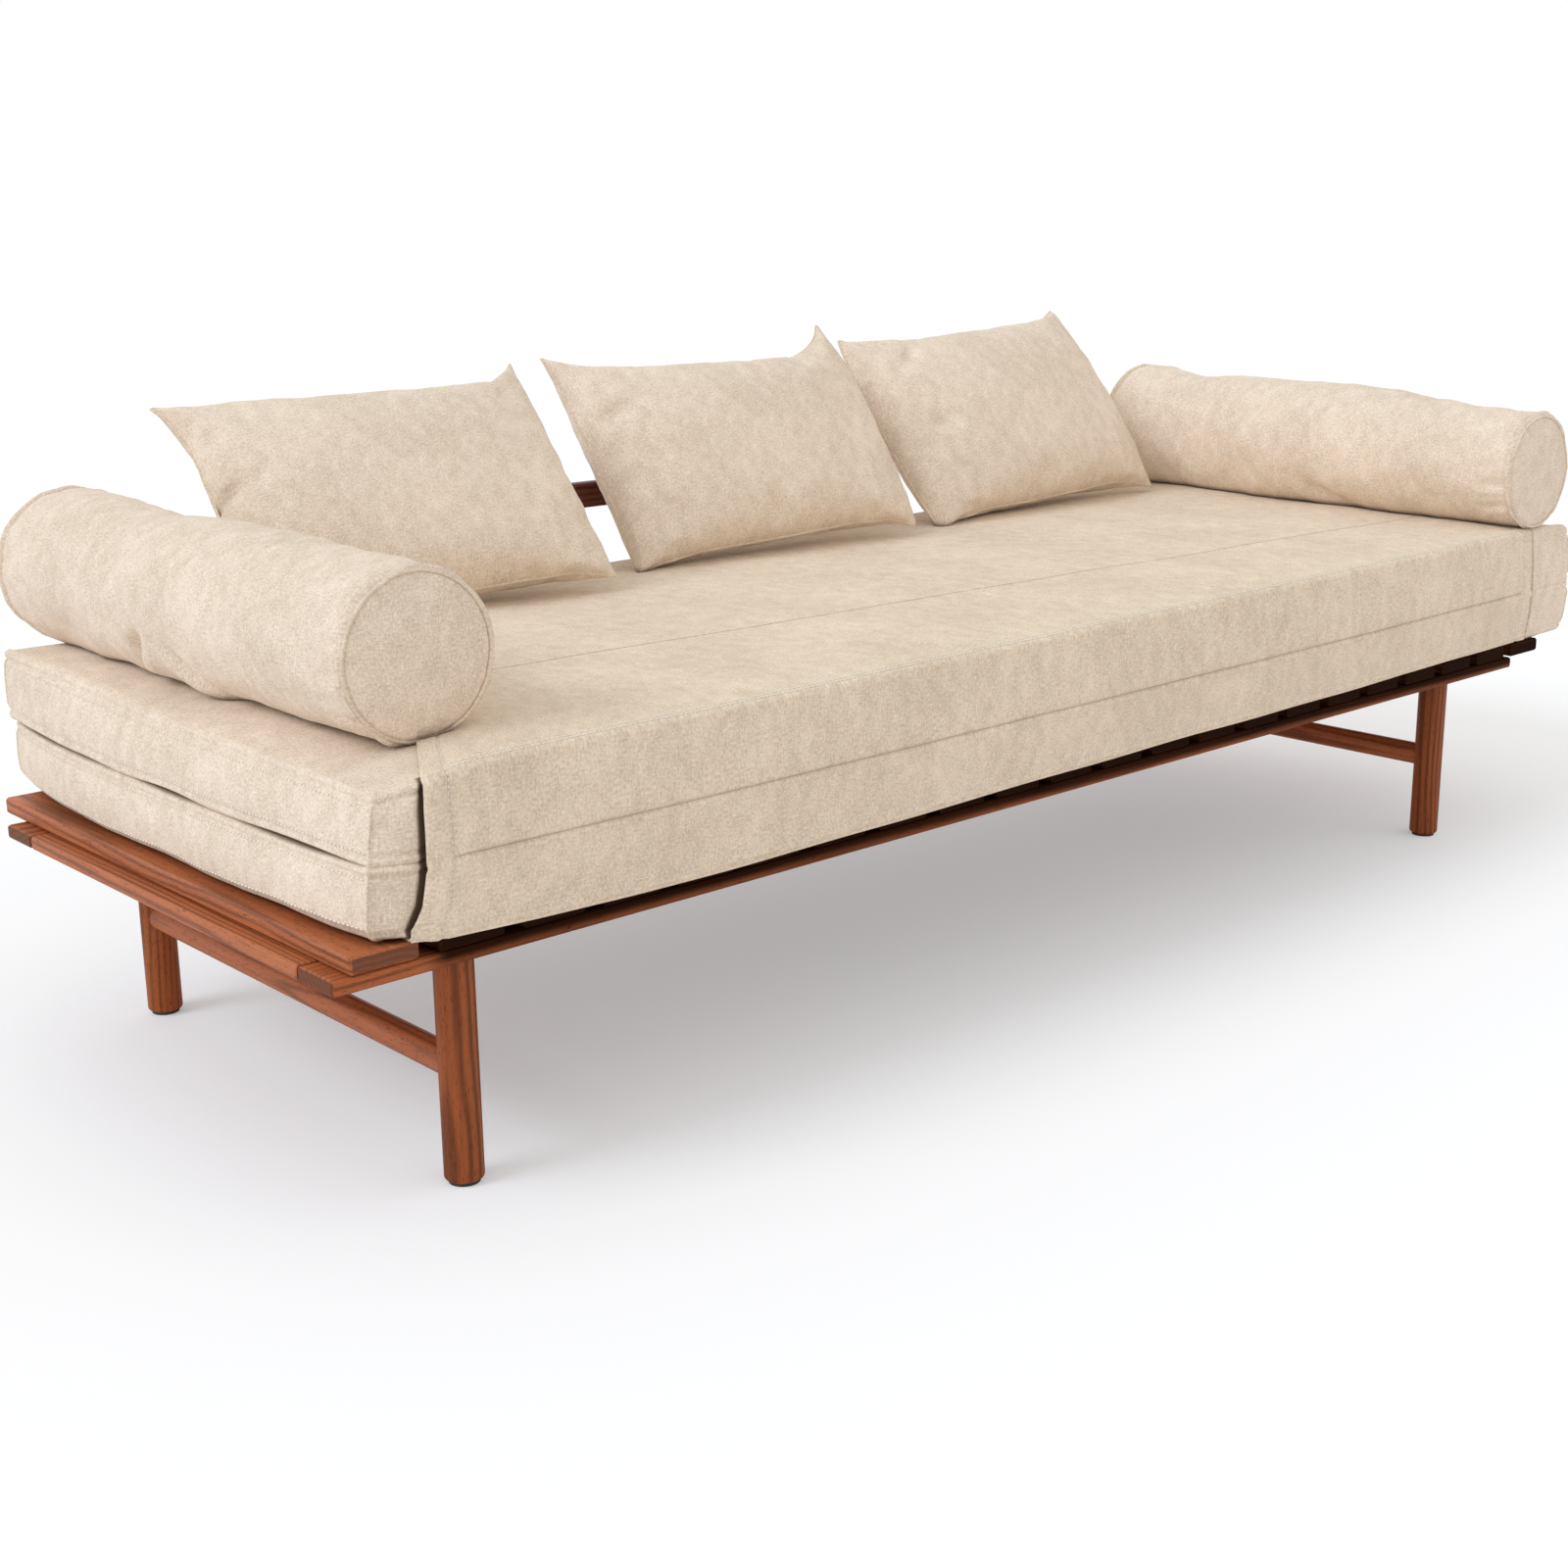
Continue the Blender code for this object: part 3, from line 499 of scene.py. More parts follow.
class Panels:
    """Grids of points sewn into one cloth mesh; each grid keeps its flat pattern in metres."""

    def __init__(self):
        self.points = []
        self.faces = []
        self.pattern = []
        self.count = 0

    def add(self, points, pattern, turned=False):
        rows, columns = points.shape[:2]
        ids = self.count + np.arange(rows * columns).reshape(rows, columns)
        quads = np.stack([ids[:-1, :-1], ids[1:, :-1], ids[1:, 1:], ids[:-1, 1:]], -1).reshape(-1, 4)
        self.faces.append(quads[:, ::-1] if turned else quads)
        self.points.append(points.reshape(-1, 3))
        self.pattern.append(pattern.reshape(-1, 2))
        self.count += rows * columns

    def mesh(self, name):
        faces = np.concatenate(self.faces)
        mesh = bpy.data.meshes.new(name)
        mesh.from_pydata(np.concatenate(self.points).tolist(), [], faces.tolist())
        flat = mesh.uv_layers.new(name="pattern")
        flat.data.foreach_set("uv", np.concatenate(self.pattern)[faces.ravel()].astype(np.float32).ravel())
        bm = bmesh.new()
        bm.from_mesh(mesh)
        bmesh.ops.remove_doubles(bm, verts=bm.verts, dist=0.00002)
        bm.to_mesh(mesh)
        bm.free()
        mesh.shade_smooth()
        return mesh


def vertex_vectors(mesh, field):
    found = np.empty(len(mesh.vertices) * 3, np.float32)
    mesh.vertices.foreach_get(field, found)
    return found.reshape(-1, 3).astype(float)


def places(mesh):
    return vertex_vectors(mesh, "co")


def normals(mesh):
    return vertex_vectors(mesh, "normal")


def set_places(mesh, points):
    mesh.vertices.foreach_set("co", points.astype(np.float32).ravel())
    mesh.update()


def paint_shade(mesh, amounts):
    """Painted shade: how much each point darkens for lying in a crease or where a piece rests, which the
    cover's finish paints as a darker line.
    """
    crease = mesh.attributes.new("crease", "FLOAT", "POINT")
    crease.data.foreach_set("value", np.clip(amounts, 0, 1).astype(np.float32))


def wander(points, size, seed):
    """Smooth noise from about -1 to 1 with features of the given size."""
    shift = Vector((seed * 17.3, seed * 5.1, seed * 9.7))
    return np.array([noise.noise(Vector(point) / size + shift) for point in points])


def bell(distance, width):
    return np.exp(-(distance / width) ** 2)


def rise(distance, length):
    """0 up to no distance, 1 from the length on, straight between."""
    return np.clip(distance / length, 0, 1)


def fade(distance, length):
    """1 up to no distance, 0 from the length on, straight between."""
    return np.clip(1 - distance / length, 0, 1)


def slanted(across, up, slope):
    """Distances along and off a line through the origin at a slope in degrees."""
    tilt = math.radians(slope)
    return across * math.cos(tilt) + up * math.sin(tilt), up * math.cos(tilt) - across * math.sin(tilt)


def nearest(points, wanted):
    """The numbers of the points that lie nearest to the wanted places."""
    tree = kdtree.KDTree(len(points))
    for number, point in enumerate(points):
        tree.insert(point, number)
    tree.balance()
    return [tree.find(point)[1] for point in wanted]


def follow(mesh, ids, lift):
    """Where those points are now, a little off the cloth."""
    return places(mesh)[ids] + lift * normals(mesh)[ids]


def nodes_modifier(name, sockets, build):
    """A Geometry Nodes group with a geometry in and out and the named inputs; returns a maker of pieces."""
    group = bpy.data.node_groups.new(name, "GeometryNodeTree")
    group.interface.new_socket("Geometry", in_out="INPUT", socket_type="NodeSocketGeometry")
    ids = {}
    for label in (*sockets, "Material"):
        kind = "NodeSocketMaterial" if label == "Material" else "NodeSocketFloat"
        ids[label] = group.interface.new_socket(label, in_out="INPUT", socket_type=kind).identifier
    group.interface.new_socket("Geometry", in_out="OUTPUT", socket_type="NodeSocketGeometry")
    nodes = Nodes(group)
    inputs = nodes.add("NodeGroupInput").socket.node
    given = {socket.name: Value(nodes, socket) for socket in inputs.outputs if socket.name}
    real = nodes.add("GeometryNodeRealizeInstances", {"Geometry": build(nodes, given)})
    painted = nodes.add("GeometryNodeSetMaterial", {"Geometry": real, "Material": given["Material"]})
    nodes.add("NodeGroupOutput", {0: painted})

    def make(piece_name, mesh, **values):
        obj = add_object(piece_name, mesh)
        modifier = obj.modifiers.new(name, "NODES")
        modifier.node_group = group
        for label, value in values.items():
            modifier[ids[label]] = value
        made = bpy.data.meshes.new_from_object(obj.evaluated_get(bpy.context.evaluated_depsgraph_get()))
        bpy.data.objects.remove(obj)
        made.name = piece_name
        return made

    return make


def even_curve(nodes, given):
    """The seam lines in even steps."""
    line = nodes.add("GeometryNodeMeshToCurve", {"Mesh": given["Geometry"]})
    inputs = {"Curve": line, "Length": given["Pitch"]}
    return nodes.add("GeometryNodeResampleCurve", inputs, {"mode": "LENGTH"})


def stitch_rows(nodes, given):
    """A short thread on each step of the seam lines."""
    spots = even_curve(nodes, given)
    bead = nodes.add("GeometryNodeMeshUVSphere", {"Segments": 6, "Rings": 4, "Radius": 0.5})
    size = nodes.join(given["Length"], given["Thread"], given["Thread"])
    stitch = nodes.add("GeometryNodeTransform", {"Geometry": bead, "Scale": size})
    smooth = nodes.add("GeometryNodeSetShadeSmooth", {"Geometry": stitch})
    tangent = nodes.add("GeometryNodeInputTangent")
    turn = nodes.add("FunctionNodeAlignRotationToVector", {"Vector": tangent}, {"axis": "X"})
    return nodes.add("GeometryNodeInstanceOnPoints", {"Points": spots, "Instance": smooth, "Rotation": turn})


def piping_runs(nodes, given):
    """A thin covered cord along the seam lines."""
    ring = nodes.add("GeometryNodeCurvePrimitiveCircle", {"Resolution": 8, "Radius": given["Radius"]},
                     {"mode": "RADIUS"})
    tube = nodes.add("GeometryNodeCurveToMesh", {
        "Curve": even_curve(nodes, given), "Profile Curve": ring, "Fill Caps": True})
    return nodes.add("GeometryNodeSetShadeSmooth", {"Geometry": tube})


def screw_heads(nodes, given):
    """A countersunk head on each point, seen from below."""
    head = nodes.add("GeometryNodeMeshCone", {
        "Vertices": 20, "Radius Top": given["Radius"] * 0.55, "Radius Bottom": given["Radius"],
        "Depth": given["Depth"]}, {"fill_type": "NGON"})
    return nodes.add("GeometryNodeInstanceOnPoints", {"Points": given["Geometry"], "Instance": head})


STITCHES = nodes_modifier("stitch rows", ("Pitch", "Length", "Thread"), stitch_rows)
PIPINGS = nodes_modifier("piping runs", ("Pitch", "Radius"), piping_runs)
SCREWS = nodes_modifier("screw heads", ("Radius", "Depth"), screw_heads)


def line_mesh(name, lines):
    """Open polylines as one mesh of edges."""
    points, edges = [], []
    for line in lines:
        first = len(points)
        points.extend(tuple(point) for point in line)
        edges.extend((n, n + 1) for n in range(first, len(points) - 1))
    mesh = bpy.data.meshes.new(name)
    mesh.from_pydata(points, edges, [])
    return mesh


def sew(name, lines, body):
    mesh = STITCHES(name, line_mesh(name, lines), Pitch=STITCH_PITCH, Length=STITCH_LENGTH, Thread=THREAD,
                    Material=THREAD_FINISH)
    return link_piece(name, mesh, body)


def pipe(name, lines, radius, body, tree=None):
    """Covered cord along lines; a tree holds what it comes to rest on."""
    mesh = PIPINGS(name, line_mesh(name, lines), Pitch=PIPING_STEP, Radius=radius, Material=BAND_CLOTH)
    if tree:
        points = places(mesh)
        gaps = rest_on(points, tree)
        set_places(mesh, points)
        # painted shade on the cord where it rests
        paint_shade(mesh, TRIM_DARK * bell(gaps, CONTACT_SHADE))
    corners = np.empty(len(mesh.loops), np.int32)
    mesh.loops.foreach_get("vertex_index", corners)
    spots = places(mesh)[corners]
    flat = np.stack([spots[:, 0] + 0.7 * spots[:, 1], spots[:, 2] + 0.4 * spots[:, 1]], -1)
    mesh.uv_layers.new(name="pattern").data.foreach_set("uv", flat.astype(np.float32).ravel())
    return link_piece(name, mesh, body)


def inflate(obj, flat):
    """Lets the cover settle under its stuffing's pressure, as far as the cap; flat holds the cut cloth."""
    start = places(obj.data)
    obj.shape_key_add(name="placed")
    cut = obj.shape_key_add(name="cut")
    cut.data.foreach_set("co", flat.astype(np.float32).ravel())
    cloth = obj.modifiers.new("cloth", "CLOTH")
    settings = {"quality": 6, "mass": 0.3, "tension_stiffness": 15, "compression_stiffness": 15,
                "shear_stiffness": 5, "bending_stiffness": 0.15, "air_damping": 3, "use_pressure": True,
                "uniform_pressure_force": CUSHION_PRESSURE, "rest_shape_key": cut}
    for key, value in settings.items():
        setattr(cloth.settings, key, value)
    cloth.settings.effector_weights.gravity = 0
    cloth.collision_settings.use_collision = False
    scene = bpy.context.scene
    for number in range(1, SETTLING_FRAMES + 1):
        scene.frame_set(number)
    settled = places(obj.evaluated_get(bpy.context.evaluated_depsgraph_get()).data)
    scene.frame_set(1)
    obj.modifiers.remove(cloth)
    obj.shape_key_clear()
    move = settled - start
    far = np.linalg.norm(move, axis=1, keepdims=True)
    set_places(obj.data, start + move * np.minimum(1.0, SETTLING_CAP / np.maximum(far, 1e-9)))


def support_tree(objects):
    """What the loose pieces rest on."""
    graph = bpy.context.evaluated_depsgraph_get()
    bm = bmesh.new()
    for obj in objects:
        mesh = obj.evaluated_get(graph).to_mesh()
        bm.from_mesh(mesh)
        obj.evaluated_get(graph).to_mesh_clear()
    tree = BVHTree.FromBMesh(bm)
    bm.free()
    return tree


def rest_on(points, tree):
    """Presses what lies below the mattress's top flat on it; returns how far each point is above it."""
    above = MATTRESS_TOP + PROBE_HEIGHT
    gaps = np.ones(len(points))
    for number, point in enumerate(points):
        if point[2] < MATTRESS_TOP + REST_HEIGHT:
            hit = tree.ray_cast(Vector((point[0], point[1], above)), Vector((0, 0, -1)))[0]
            if hit:
                point[2] = max(point[2], hit.z + SOFT_GAP)
                gaps[number] = point[2] - hit.z
    return gaps


def height_share(z):
    """0 at the square-cut mattress's bottom, 1 at its top."""
    return np.clip((z - MATTRESS_BOTTOM) / (LOWER_LAYER + UPPER_LAYER), 0, 1)


def upholster(points):
    """Moves points of the square-cut mattress to where the stuffed cover holds them."""
    x, y, z = points.T
    along = np.clip(2 * (x - MATTRESS_LEFT) / MATTRESS_LENGTH - 1, -1, 1)
    across = np.clip(2 * (y - MATTRESS_FRONT) / MATTRESS_DEPTH - 1, -1, 1)
    upper = z > MATTRESS_SEAM
    height = height_share(z)
    level = np.where(upper, (z - MATTRESS_SEAM) / UPPER_LAYER, (z - MATTRESS_BOTTOM) / LOWER_LAYER)
    bulge = SIDE_BULGE * (1 - (2 * np.clip(level, 0, 1) - 1) ** 2)
    off_sides = 1 - across ** 4
    to_rear, to_front = np.maximum(0, across), np.maximum(0, -across)
    left_end, right_end = rise(-along - 0.9, 0.1) ** 2, rise(along - 0.9, 0.1) ** 2
    fall = np.abs(along) ** CROWN_FALL * np.where(along > 0, RIGHT_FALL, 1 - REAR_FALL * to_rear)
    crown = (MATTRESS_CROWN + RIGHT_RISE * along) * (1 - fall) + DEPTH_CROWN * off_sides
    crown += REAR_RISE * rise(across + 0.4, 1.4) * np.maximum(0, along)
    front = FRONT_SWELL * (1 - along ** 4) + SIDE_BULGE * (1 - (2 * height - 1) ** 2) - FRONT_TURN * along
    front -= CORNER_SETBACK * fade(x - MATTRESS_LEFT, CORNER_REACH) ** 1.5
    flare = np.where(along < 0, LEFT_FLARE, CORNER_FLARE) * np.where(upper | (along > 0), 1.0, 0.5)
    out = (flare * along ** 12 + bulge) * to_rear ** 3 - front * to_front ** 3
    spread = np.where(across < 0, 1 - 0.4 * across ** 4, off_sides)
    end = bulge * np.copysign(np.abs(along) ** 40, along) * off_sides
    end -= END_SPREAD * (1 - height ** 2.5) * left_end * spread
    end += END_TUCK * fade(height, TUCK_HEIGHT) ** 2 * left_end + RIGHT_SPREAD * right_end * spread
    past = rise(SLAT_FRONT - 0.004 - y - out, 0.010) * fade(height, 0.4) ** 2
    lip = LIP_DROP * (0.4 + 0.6 * bell(along + 0.7, 0.4)) * past
    lift = np.where(upper, crown * np.clip(level, 0, 1), 0.0)
    return np.stack([x + end, y + out, z + lift - lip], -1)


def clear_of_rail(points, spare):
    """Keeps the mattress's rear in front of the back rail, so that it lifts past it."""
    low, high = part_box("back_rail")
    x = points[:, 0]
    beyond = np.maximum(0, np.maximum(low.x - RAIL_MARGIN - x, x - high.x - RAIL_MARGIN))
    points[:, 1] = np.minimum(points[:, 1], low.y - spare + beyond)
    return points


def slack(points):
    """Soft unevenness of the stuffing, stronger towards the ends; the band follows the layers in it."""
    at_end = np.minimum(points[:, 0] - MATTRESS_LEFT, MATTRESS_RIGHT - points[:, 0])
    return SLACK * wander(points * [1.0, 1.0, 0.8], 0.11, 6) * (bell(at_end, 0.070) * 0.8 + 0.2)


def fine_steps(low, high, step, fine, margin):
    """Places along a side, close together near its ends."""
    ends = np.arange(0.0, margin, fine)
    count = max(2, round((high - low - 2 * margin) / step))
    middle = np.linspace(low + margin, high - margin, count + 1)
    return np.concatenate([low + ends, middle, (high - ends)[::-1]])


def apart(stations):
    """Places in order, without those that nearly coincide."""
    stations = np.sort(stations)
    return stations[np.diff(stations, prepend=-math.inf) > 0.0007]


def band_edge(height):
    """How far the band's left edge stands aside at a share of the mattress's height."""
    return np.interp(height, BAND_SLANT_HEIGHTS, BAND_SLANT)


def rounded(points, low, high, low_radii, high_radii):
    """Rounds the edges of a box on which the points lie; the radii go with its low and high faces."""
    low, high, low_radii, high_radii = (np.array(v) for v in (low, high, low_radii, high_radii))
    inner = np.clip(points, low + low_radii, high - high_radii)
    away = points - inner
    radii = np.where(away < 0, low_radii, high_radii)
    length = np.linalg.norm(away / radii, axis=-1, keepdims=True)
    return np.where(length > 1e-9, inner + away / np.maximum(length, 1e-9), points)


def block_panels(low, high, steps):
    """The six faces of a box as grids of points with their flat patterns."""
    for axis in range(3):
        first, second = [i for i in range(3) if i != axis]
        u, v = np.meshgrid(steps[first], steps[second], indexing="ij")
        for side, place in ((0, low[axis]), (1, high[axis])):
            points = np.empty(u.shape + (3,))
            points[..., first], points[..., second], points[..., axis] = u, v, place
            pattern = np.stack([u, v], -1) + axis * 3.1 + side * 1.7
            yield points, pattern, (side == 1) == (axis == 1)


def mattress_layer(name, bottom, top):
    """One half of the folded mattress, with seams round its end panels and soft puckers beside them."""
    low = (MATTRESS_LEFT, MATTRESS_FRONT, bottom)
    high = (MATTRESS_RIGHT, MATTRESS_REAR, top)
    steps = [fine_steps(low[i], high[i], step, *LAYER_EDGE_STEPS) for i, step in enumerate(LAYER_STEPS)]
    beside = [BAND_LEFT + np.linspace(-0.016, 0.028, 23), BAND_RIGHT + np.linspace(-0.004, 0.012, 17)]
    steps[0] = apart(np.concatenate([steps[0], *beside]))
    low_radii = (EDGE_ROUNDING, EDGE_ROUNDING, EDGE_ROUNDING if bottom == MATTRESS_BOTTOM else FOLD_ROUNDING)
    high_radii = (RIGHT_ROUNDING, EDGE_ROUNDING, EDGE_ROUNDING if top == MATTRESS_TOP else FOLD_ROUNDING)
    panels = Panels()
    for points, pattern, turned in block_panels(low, high, steps):
        panels.add(rounded(points, low, high, low_radii, high_radii), pattern, turned)
    mesh = panels.mesh(name)
    square = places(mesh)
    points = upholster(square)
    set_places(mesh, points)
    x, y, z = square.T
    at_end = np.minimum(x - low[0], high[0] - x)
    at_side = np.minimum(y - low[1], high[1] - y)
    from_face = np.minimum(z - bottom, top - z)
    outside = np.minimum(at_end, at_side) < 0.0045
    seam = bell(from_face - SEAM_DROP, SEAM_WIDTH) * outside
    swell = bell(from_face - SEAM_DROP + 0.004, SEAM_SWELL_WIDTH) * outside
    ridge = bell(at_end - at_side, CORNER_RIDGE_WIDTH) * (at_end + at_side < 0.010)
    pucker = PUCKER * wander(square * [1.0, 1.0, 0.45], 0.050, 3) + FINE_PUCKER * wander(square, 0.020, 5)
    pucker *= bell(at_end, PUCKER_REACH) * (1 - 0.6 * seam) * rise(from_face, 0.015)
    firm = np.where(x > 0, RIGHT_SHARE, 1.0)
    push = pucker + slack(square) + firm * (SEAM_SWELL * swell - SEAM_DEPTH * seam + CORNER_RIDGE * ridge)
    at_front = fade(y - MATTRESS_FRONT, 0.04)
    on_front = at_front > 0.9
    past = x - BAND_RIGHT
    groove = bell(past - 0.001, GROOVE_WIDTH) * on_front
    push += GROOVE_BULGE * rise(past - 0.003, 0.002) * on_front - GROOVE_DEPTH * groove
    points = points + normals(mesh) * push[:, None]
    inside = x - BAND_LEFT - band_edge(height_share(z))
    slot = rise(inside + 0.001, 0.012) * rise(0.036 - inside, 0.022)
    slot *= rise(MATTRESS_TOP - z, 0.005) * rise(z - MATTRESS_BOTTOM, 0.006)
    points[:, 1] += BAND_SLOT * slot * at_front
    set_places(mesh, clear_of_rail(points, 2 * BAND_THICKNESS))
    # painted shade: darker lines in the fold between the layers, beside the band's right edge, along the left
    # end's lower edge and in the slot behind the band's left edge
    fold = bell(z - MATTRESS_SEAM, 0.0015)
    dark = FOLD_DARK * fold * (at_end < 0.006) * rise(at_side, 0.012)
    dark += FRONT_FOLD_DARK * fold * on_front * (past > 0.012) + GROOVE_DARK * groove
    dark += DECK_DARK * bell(z - MATTRESS_BOTTOM, 0.0050) * (x - MATTRESS_LEFT < 0.02)
    dark += SLOT_DARK * (at_front > 0.85) * rise(inside + 0.0015, 0.002) * (inside < 0.05)
    paint_shade(mesh, dark)
    return link_piece(name, mesh, "mattress", COVER), square


def band_loop():
    """The band's section, from the front's lower corner up: places, outward directions, lengths round it."""
    front, rear, bottom, top = MATTRESS_FRONT, MATTRESS_REAR, MATTRESS_BOTTOM, MATTRESS_TOP
    radius = BAND_ROUNDING
    turns = np.linspace(0, math.pi / 2, 7)[1:-1]
    climb = fine_steps(bottom + radius, top - radius, 0.0035, 0.002, 0.010)
    fold = MATTRESS_SEAM + np.array([-0.003, -0.0015, 0.0, 0.0015, 0.003])
    climb = np.sort(np.concatenate([climb[np.abs(climb - MATTRESS_SEAM) > 0.004], fold]))
    back = fine_steps(bottom + radius, top - radius, 0.012, 0.004, 0.008)
    run = fine_steps(front + radius, rear - radius, 0.010, 0.003, 0.015)
    under = fine_steps(front + radius, rear - radius, 0.030, 0.004, 0.024)
    sides = [[((front, z), (-1, 0)) for z in climb], [((y, top), (0, 1)) for y in run],
             [((rear, z), (1, 0)) for z in back[::-1]], [((y, bottom), (0, -1)) for y in under[::-1]]]
    corners = [(front + radius, top - radius, 180), (rear - radius, top - radius, 90),
               (rear - radius, bottom + radius, 0), (front + radius, bottom + radius, -90)]
    loop = []
    for side, (y, z, start) in zip(sides, corners):
        loop.extend(side)
        for turn in turns:
            angle = math.radians(start) - turn
            way = (math.cos(angle), math.sin(angle))
            loop.append(((y + radius * way[0], z + radius * way[1]), way))
    loop.append(loop[0])
    spots = np.array([spot for spot, _ in loop])
    ways = np.array([way for _, way in loop])
    lengths = np.concatenate([[0.0], np.cumsum(np.linalg.norm(np.diff(spots, axis=0), axis=1))])
    return spots, ways, lengths


def mattress_band():
    """The fabric sleeve round both layers, open at both ends, with its hems, edge seam and fold seam."""
    spots, ways, lengths = band_loop()
    stations = fine_steps(BAND_LEFT, BAND_RIGHT, 0.0135, 0.003, 0.030)
    near_seams = np.concatenate([seam + np.linspace(-0.009, 0.009, 9) for seam in BAND_CROSS_SEAMS])
    stations = apart(np.concatenate([stations, near_seams]))
    shape = (len(stations), len(spots), 3)
    base, outward = np.empty(shape), np.zeros(shape)
    base[..., 0] = stations[:, None]
    base[..., 1:] = spots[None] + BAND_LIFT * ways[None]
    outward[..., 1:] = ways[None]
    base, outward = base.reshape(-1, 3), outward.reshape(-1, 3)
    x, y, z = base.T.copy()
    height = height_share(z)
    behind = rise(y - MATTRESS_FRONT, BAND_DRIFT_REACH)
    slant = band_edge(height) * (1 - behind) + BAND_DRIFT * height * behind
    base[:, 0] += slant * fade(x - BAND_LEFT, BAND_SLANT_REACH)
    points = upholster(base)
    front = np.clip(-outward[:, 1], 0, 1)
    top = np.clip(outward[:, 2], 0, 1)
    from_end = np.minimum(x - BAND_LEFT, BAND_RIGHT - x)
    from_edge = MATTRESS_TOP - z
    fold = bell(z - MATTRESS_SEAM, 0.0016) * front * rise(from_end - HEM_WIDTH, 0.004)
    hem = bell(from_end - HEM_WIDTH, 0.0020)
    cross, tuck = (sum(bell(x - seam, width) for seam in BAND_CROSS_SEAMS) for width in (0.0028, 0.010))
    pucker = wander(np.stack([x, y * 0.2, z * 0.2], -1), 0.034, 8)
    pulls = {
        "fold": fold,
        "lip": bell(z - MATTRESS_SEAM + 0.0036, 0.0026) * front,
        "hem": hem,
        "flap": fade(from_end, HEM_WIDTH) ** 0.5,
        "pucker": pucker * bell(from_edge - 0.012, 0.030) * front,
        "bottom hem": (bell(height - 0.035, 0.020) - 0.8 * bell(height - 0.075, 0.014)) * front,
        "edge": bell(from_edge - 0.003, 0.0028) * np.clip(front + top, 0, 1),
        "cross seams": cross * top,
        "tucks": tuck * bell(from_edge - 0.003, 0.010) * front,
    }
    billow = wander(np.stack([x, y, z * 0.4], -1), 0.16, 4) * (BAND_BILLOW[0] * front + BAND_BILLOW[1] * top)
    middle = 1 - np.abs(2 * height - 1) ** 8
    gape = (BAND_GAPE * bell(x - BAND_LEFT, 0.020) * middle + 0.0008) * front
    push = billow + gape + sum(BAND_PULLS[part] * shape for part, shape in pulls.items())
    points = clear_of_rail(points + outward * (push + slack(base))[:, None], BAND_THICKNESS + 0.0015)
    grid = points.reshape(shape)
    panels = Panels()
    panels.add(grid, np.stack(np.meshgrid(stations, lengths, indexing="ij"), -1))
    mesh = panels.mesh("mattress_sleeve")
    # painted shade along the fold seam's crease on the front and beside the hem at the left end
    dark = np.zeros(len(mesh.vertices))
    crease_shade = BAND_FOLD_DARK * fold + BAND_HEM_DARK * hem * front * (x < 0)
    dark[nearest(places(mesh), points)] = crease_shade
    paint_shade(mesh, dark)
    obj = link_piece("mattress_sleeve", mesh, "mattress", BAND_CLOTH)
    wall = obj.modifiers.new("cloth", "SOLIDIFY")
    wall.thickness = BAND_WALL
    wall.offset = 1.0
    return obj, grid, spots, ways, stations


def lay_band_seams(grid, spots, ways, stations):
    """Topstitching along the front edge and both hems, a seam along the top, piping along the bottom edge."""
    out = np.concatenate([np.zeros((len(ways), 1)), ways], axis=1) * (BAND_WALL + STITCH_LIFT)
    front = [n for n in range(len(spots) - 1) if ways[n][0] < -0.99]
    top = [n for n in range(len(spots) - 1) if ways[n][1] > 0.99]
    first = int(np.argmin(abs(stations - BAND_LEFT - HEM_WIDTH)))
    last = int(np.argmin(abs(stations - BAND_RIGHT + HEM_WIDTH)))
    edge = front[-1] + 4
    lines = [grid[first:last, column] + out[column] for column in (edge, edge + 2, front[3])]
    lines += [grid[row] + out for row in (first, last)]
    sew("sleeve_stitches", lines, "mattress")
    top_seam = []
    for row in range(first, last):
        share = (stations[row] - stations[first]) / (stations[last] - stations[first])
        depth = MATTRESS_FRONT + TOP_SEAM[0] * (1 - share) + TOP_SEAM[1] * share
        spot = [np.interp(depth, spots[top, 0], grid[row, top, axis]) for axis in range(3)]
        top_seam.append(np.array(spot) + out[top[0]])
    pipe("sleeve_top_seam", [top_seam], TOP_SEAM_RADIUS, "mattress")
    corner = len(spots) - 3
    pipe("sleeve_piping", [grid[:, corner] + out[corner]], BAND_PIPING_RADIUS, "mattress")


def layer_seams(layers):
    """Topstitching beside the seams of the four end panels, and a welt down each corner."""
    lines, welts = [], []
    for obj, square, bottom, top in layers:
        across, deep, up = square.T
        between_seams = (up > bottom + SEAM_DROP) & (up < top - SEAM_DROP)
        for x in (MATTRESS_LEFT, MATTRESS_RIGHT):
            from_end = np.abs(across - x)
            on_end = from_end < 0.0002
            for level in (bottom + SEAM_DROP + STITCH_OFFSET, top - SEAM_DROP - STITCH_OFFSET):
                height = up[on_end][np.argmin(np.abs(up[on_end] - level))]
                ids = np.flatnonzero(on_end & (np.abs(up - height) < 0.0004))
                lines.append(follow(obj.data, ids[np.argsort(deep[ids])], STITCH_LIFT))
            for y in (MATTRESS_FRONT, MATTRESS_REAR):
                on_corner = (np.abs(from_end - np.abs(deep - y)) < 0.0006) & (from_end < EDGE_ROUNDING)
                ids = np.flatnonzero(on_corner & between_seams)
                welts.append(follow(obj.data, ids[np.argsort(up[ids])], LAYER_WELT_LIFT))
    sew("layer_stitches", lines, "mattress")
    pipe("layer_welts", welts, LAYER_WELT_RADIUS, "mattress")


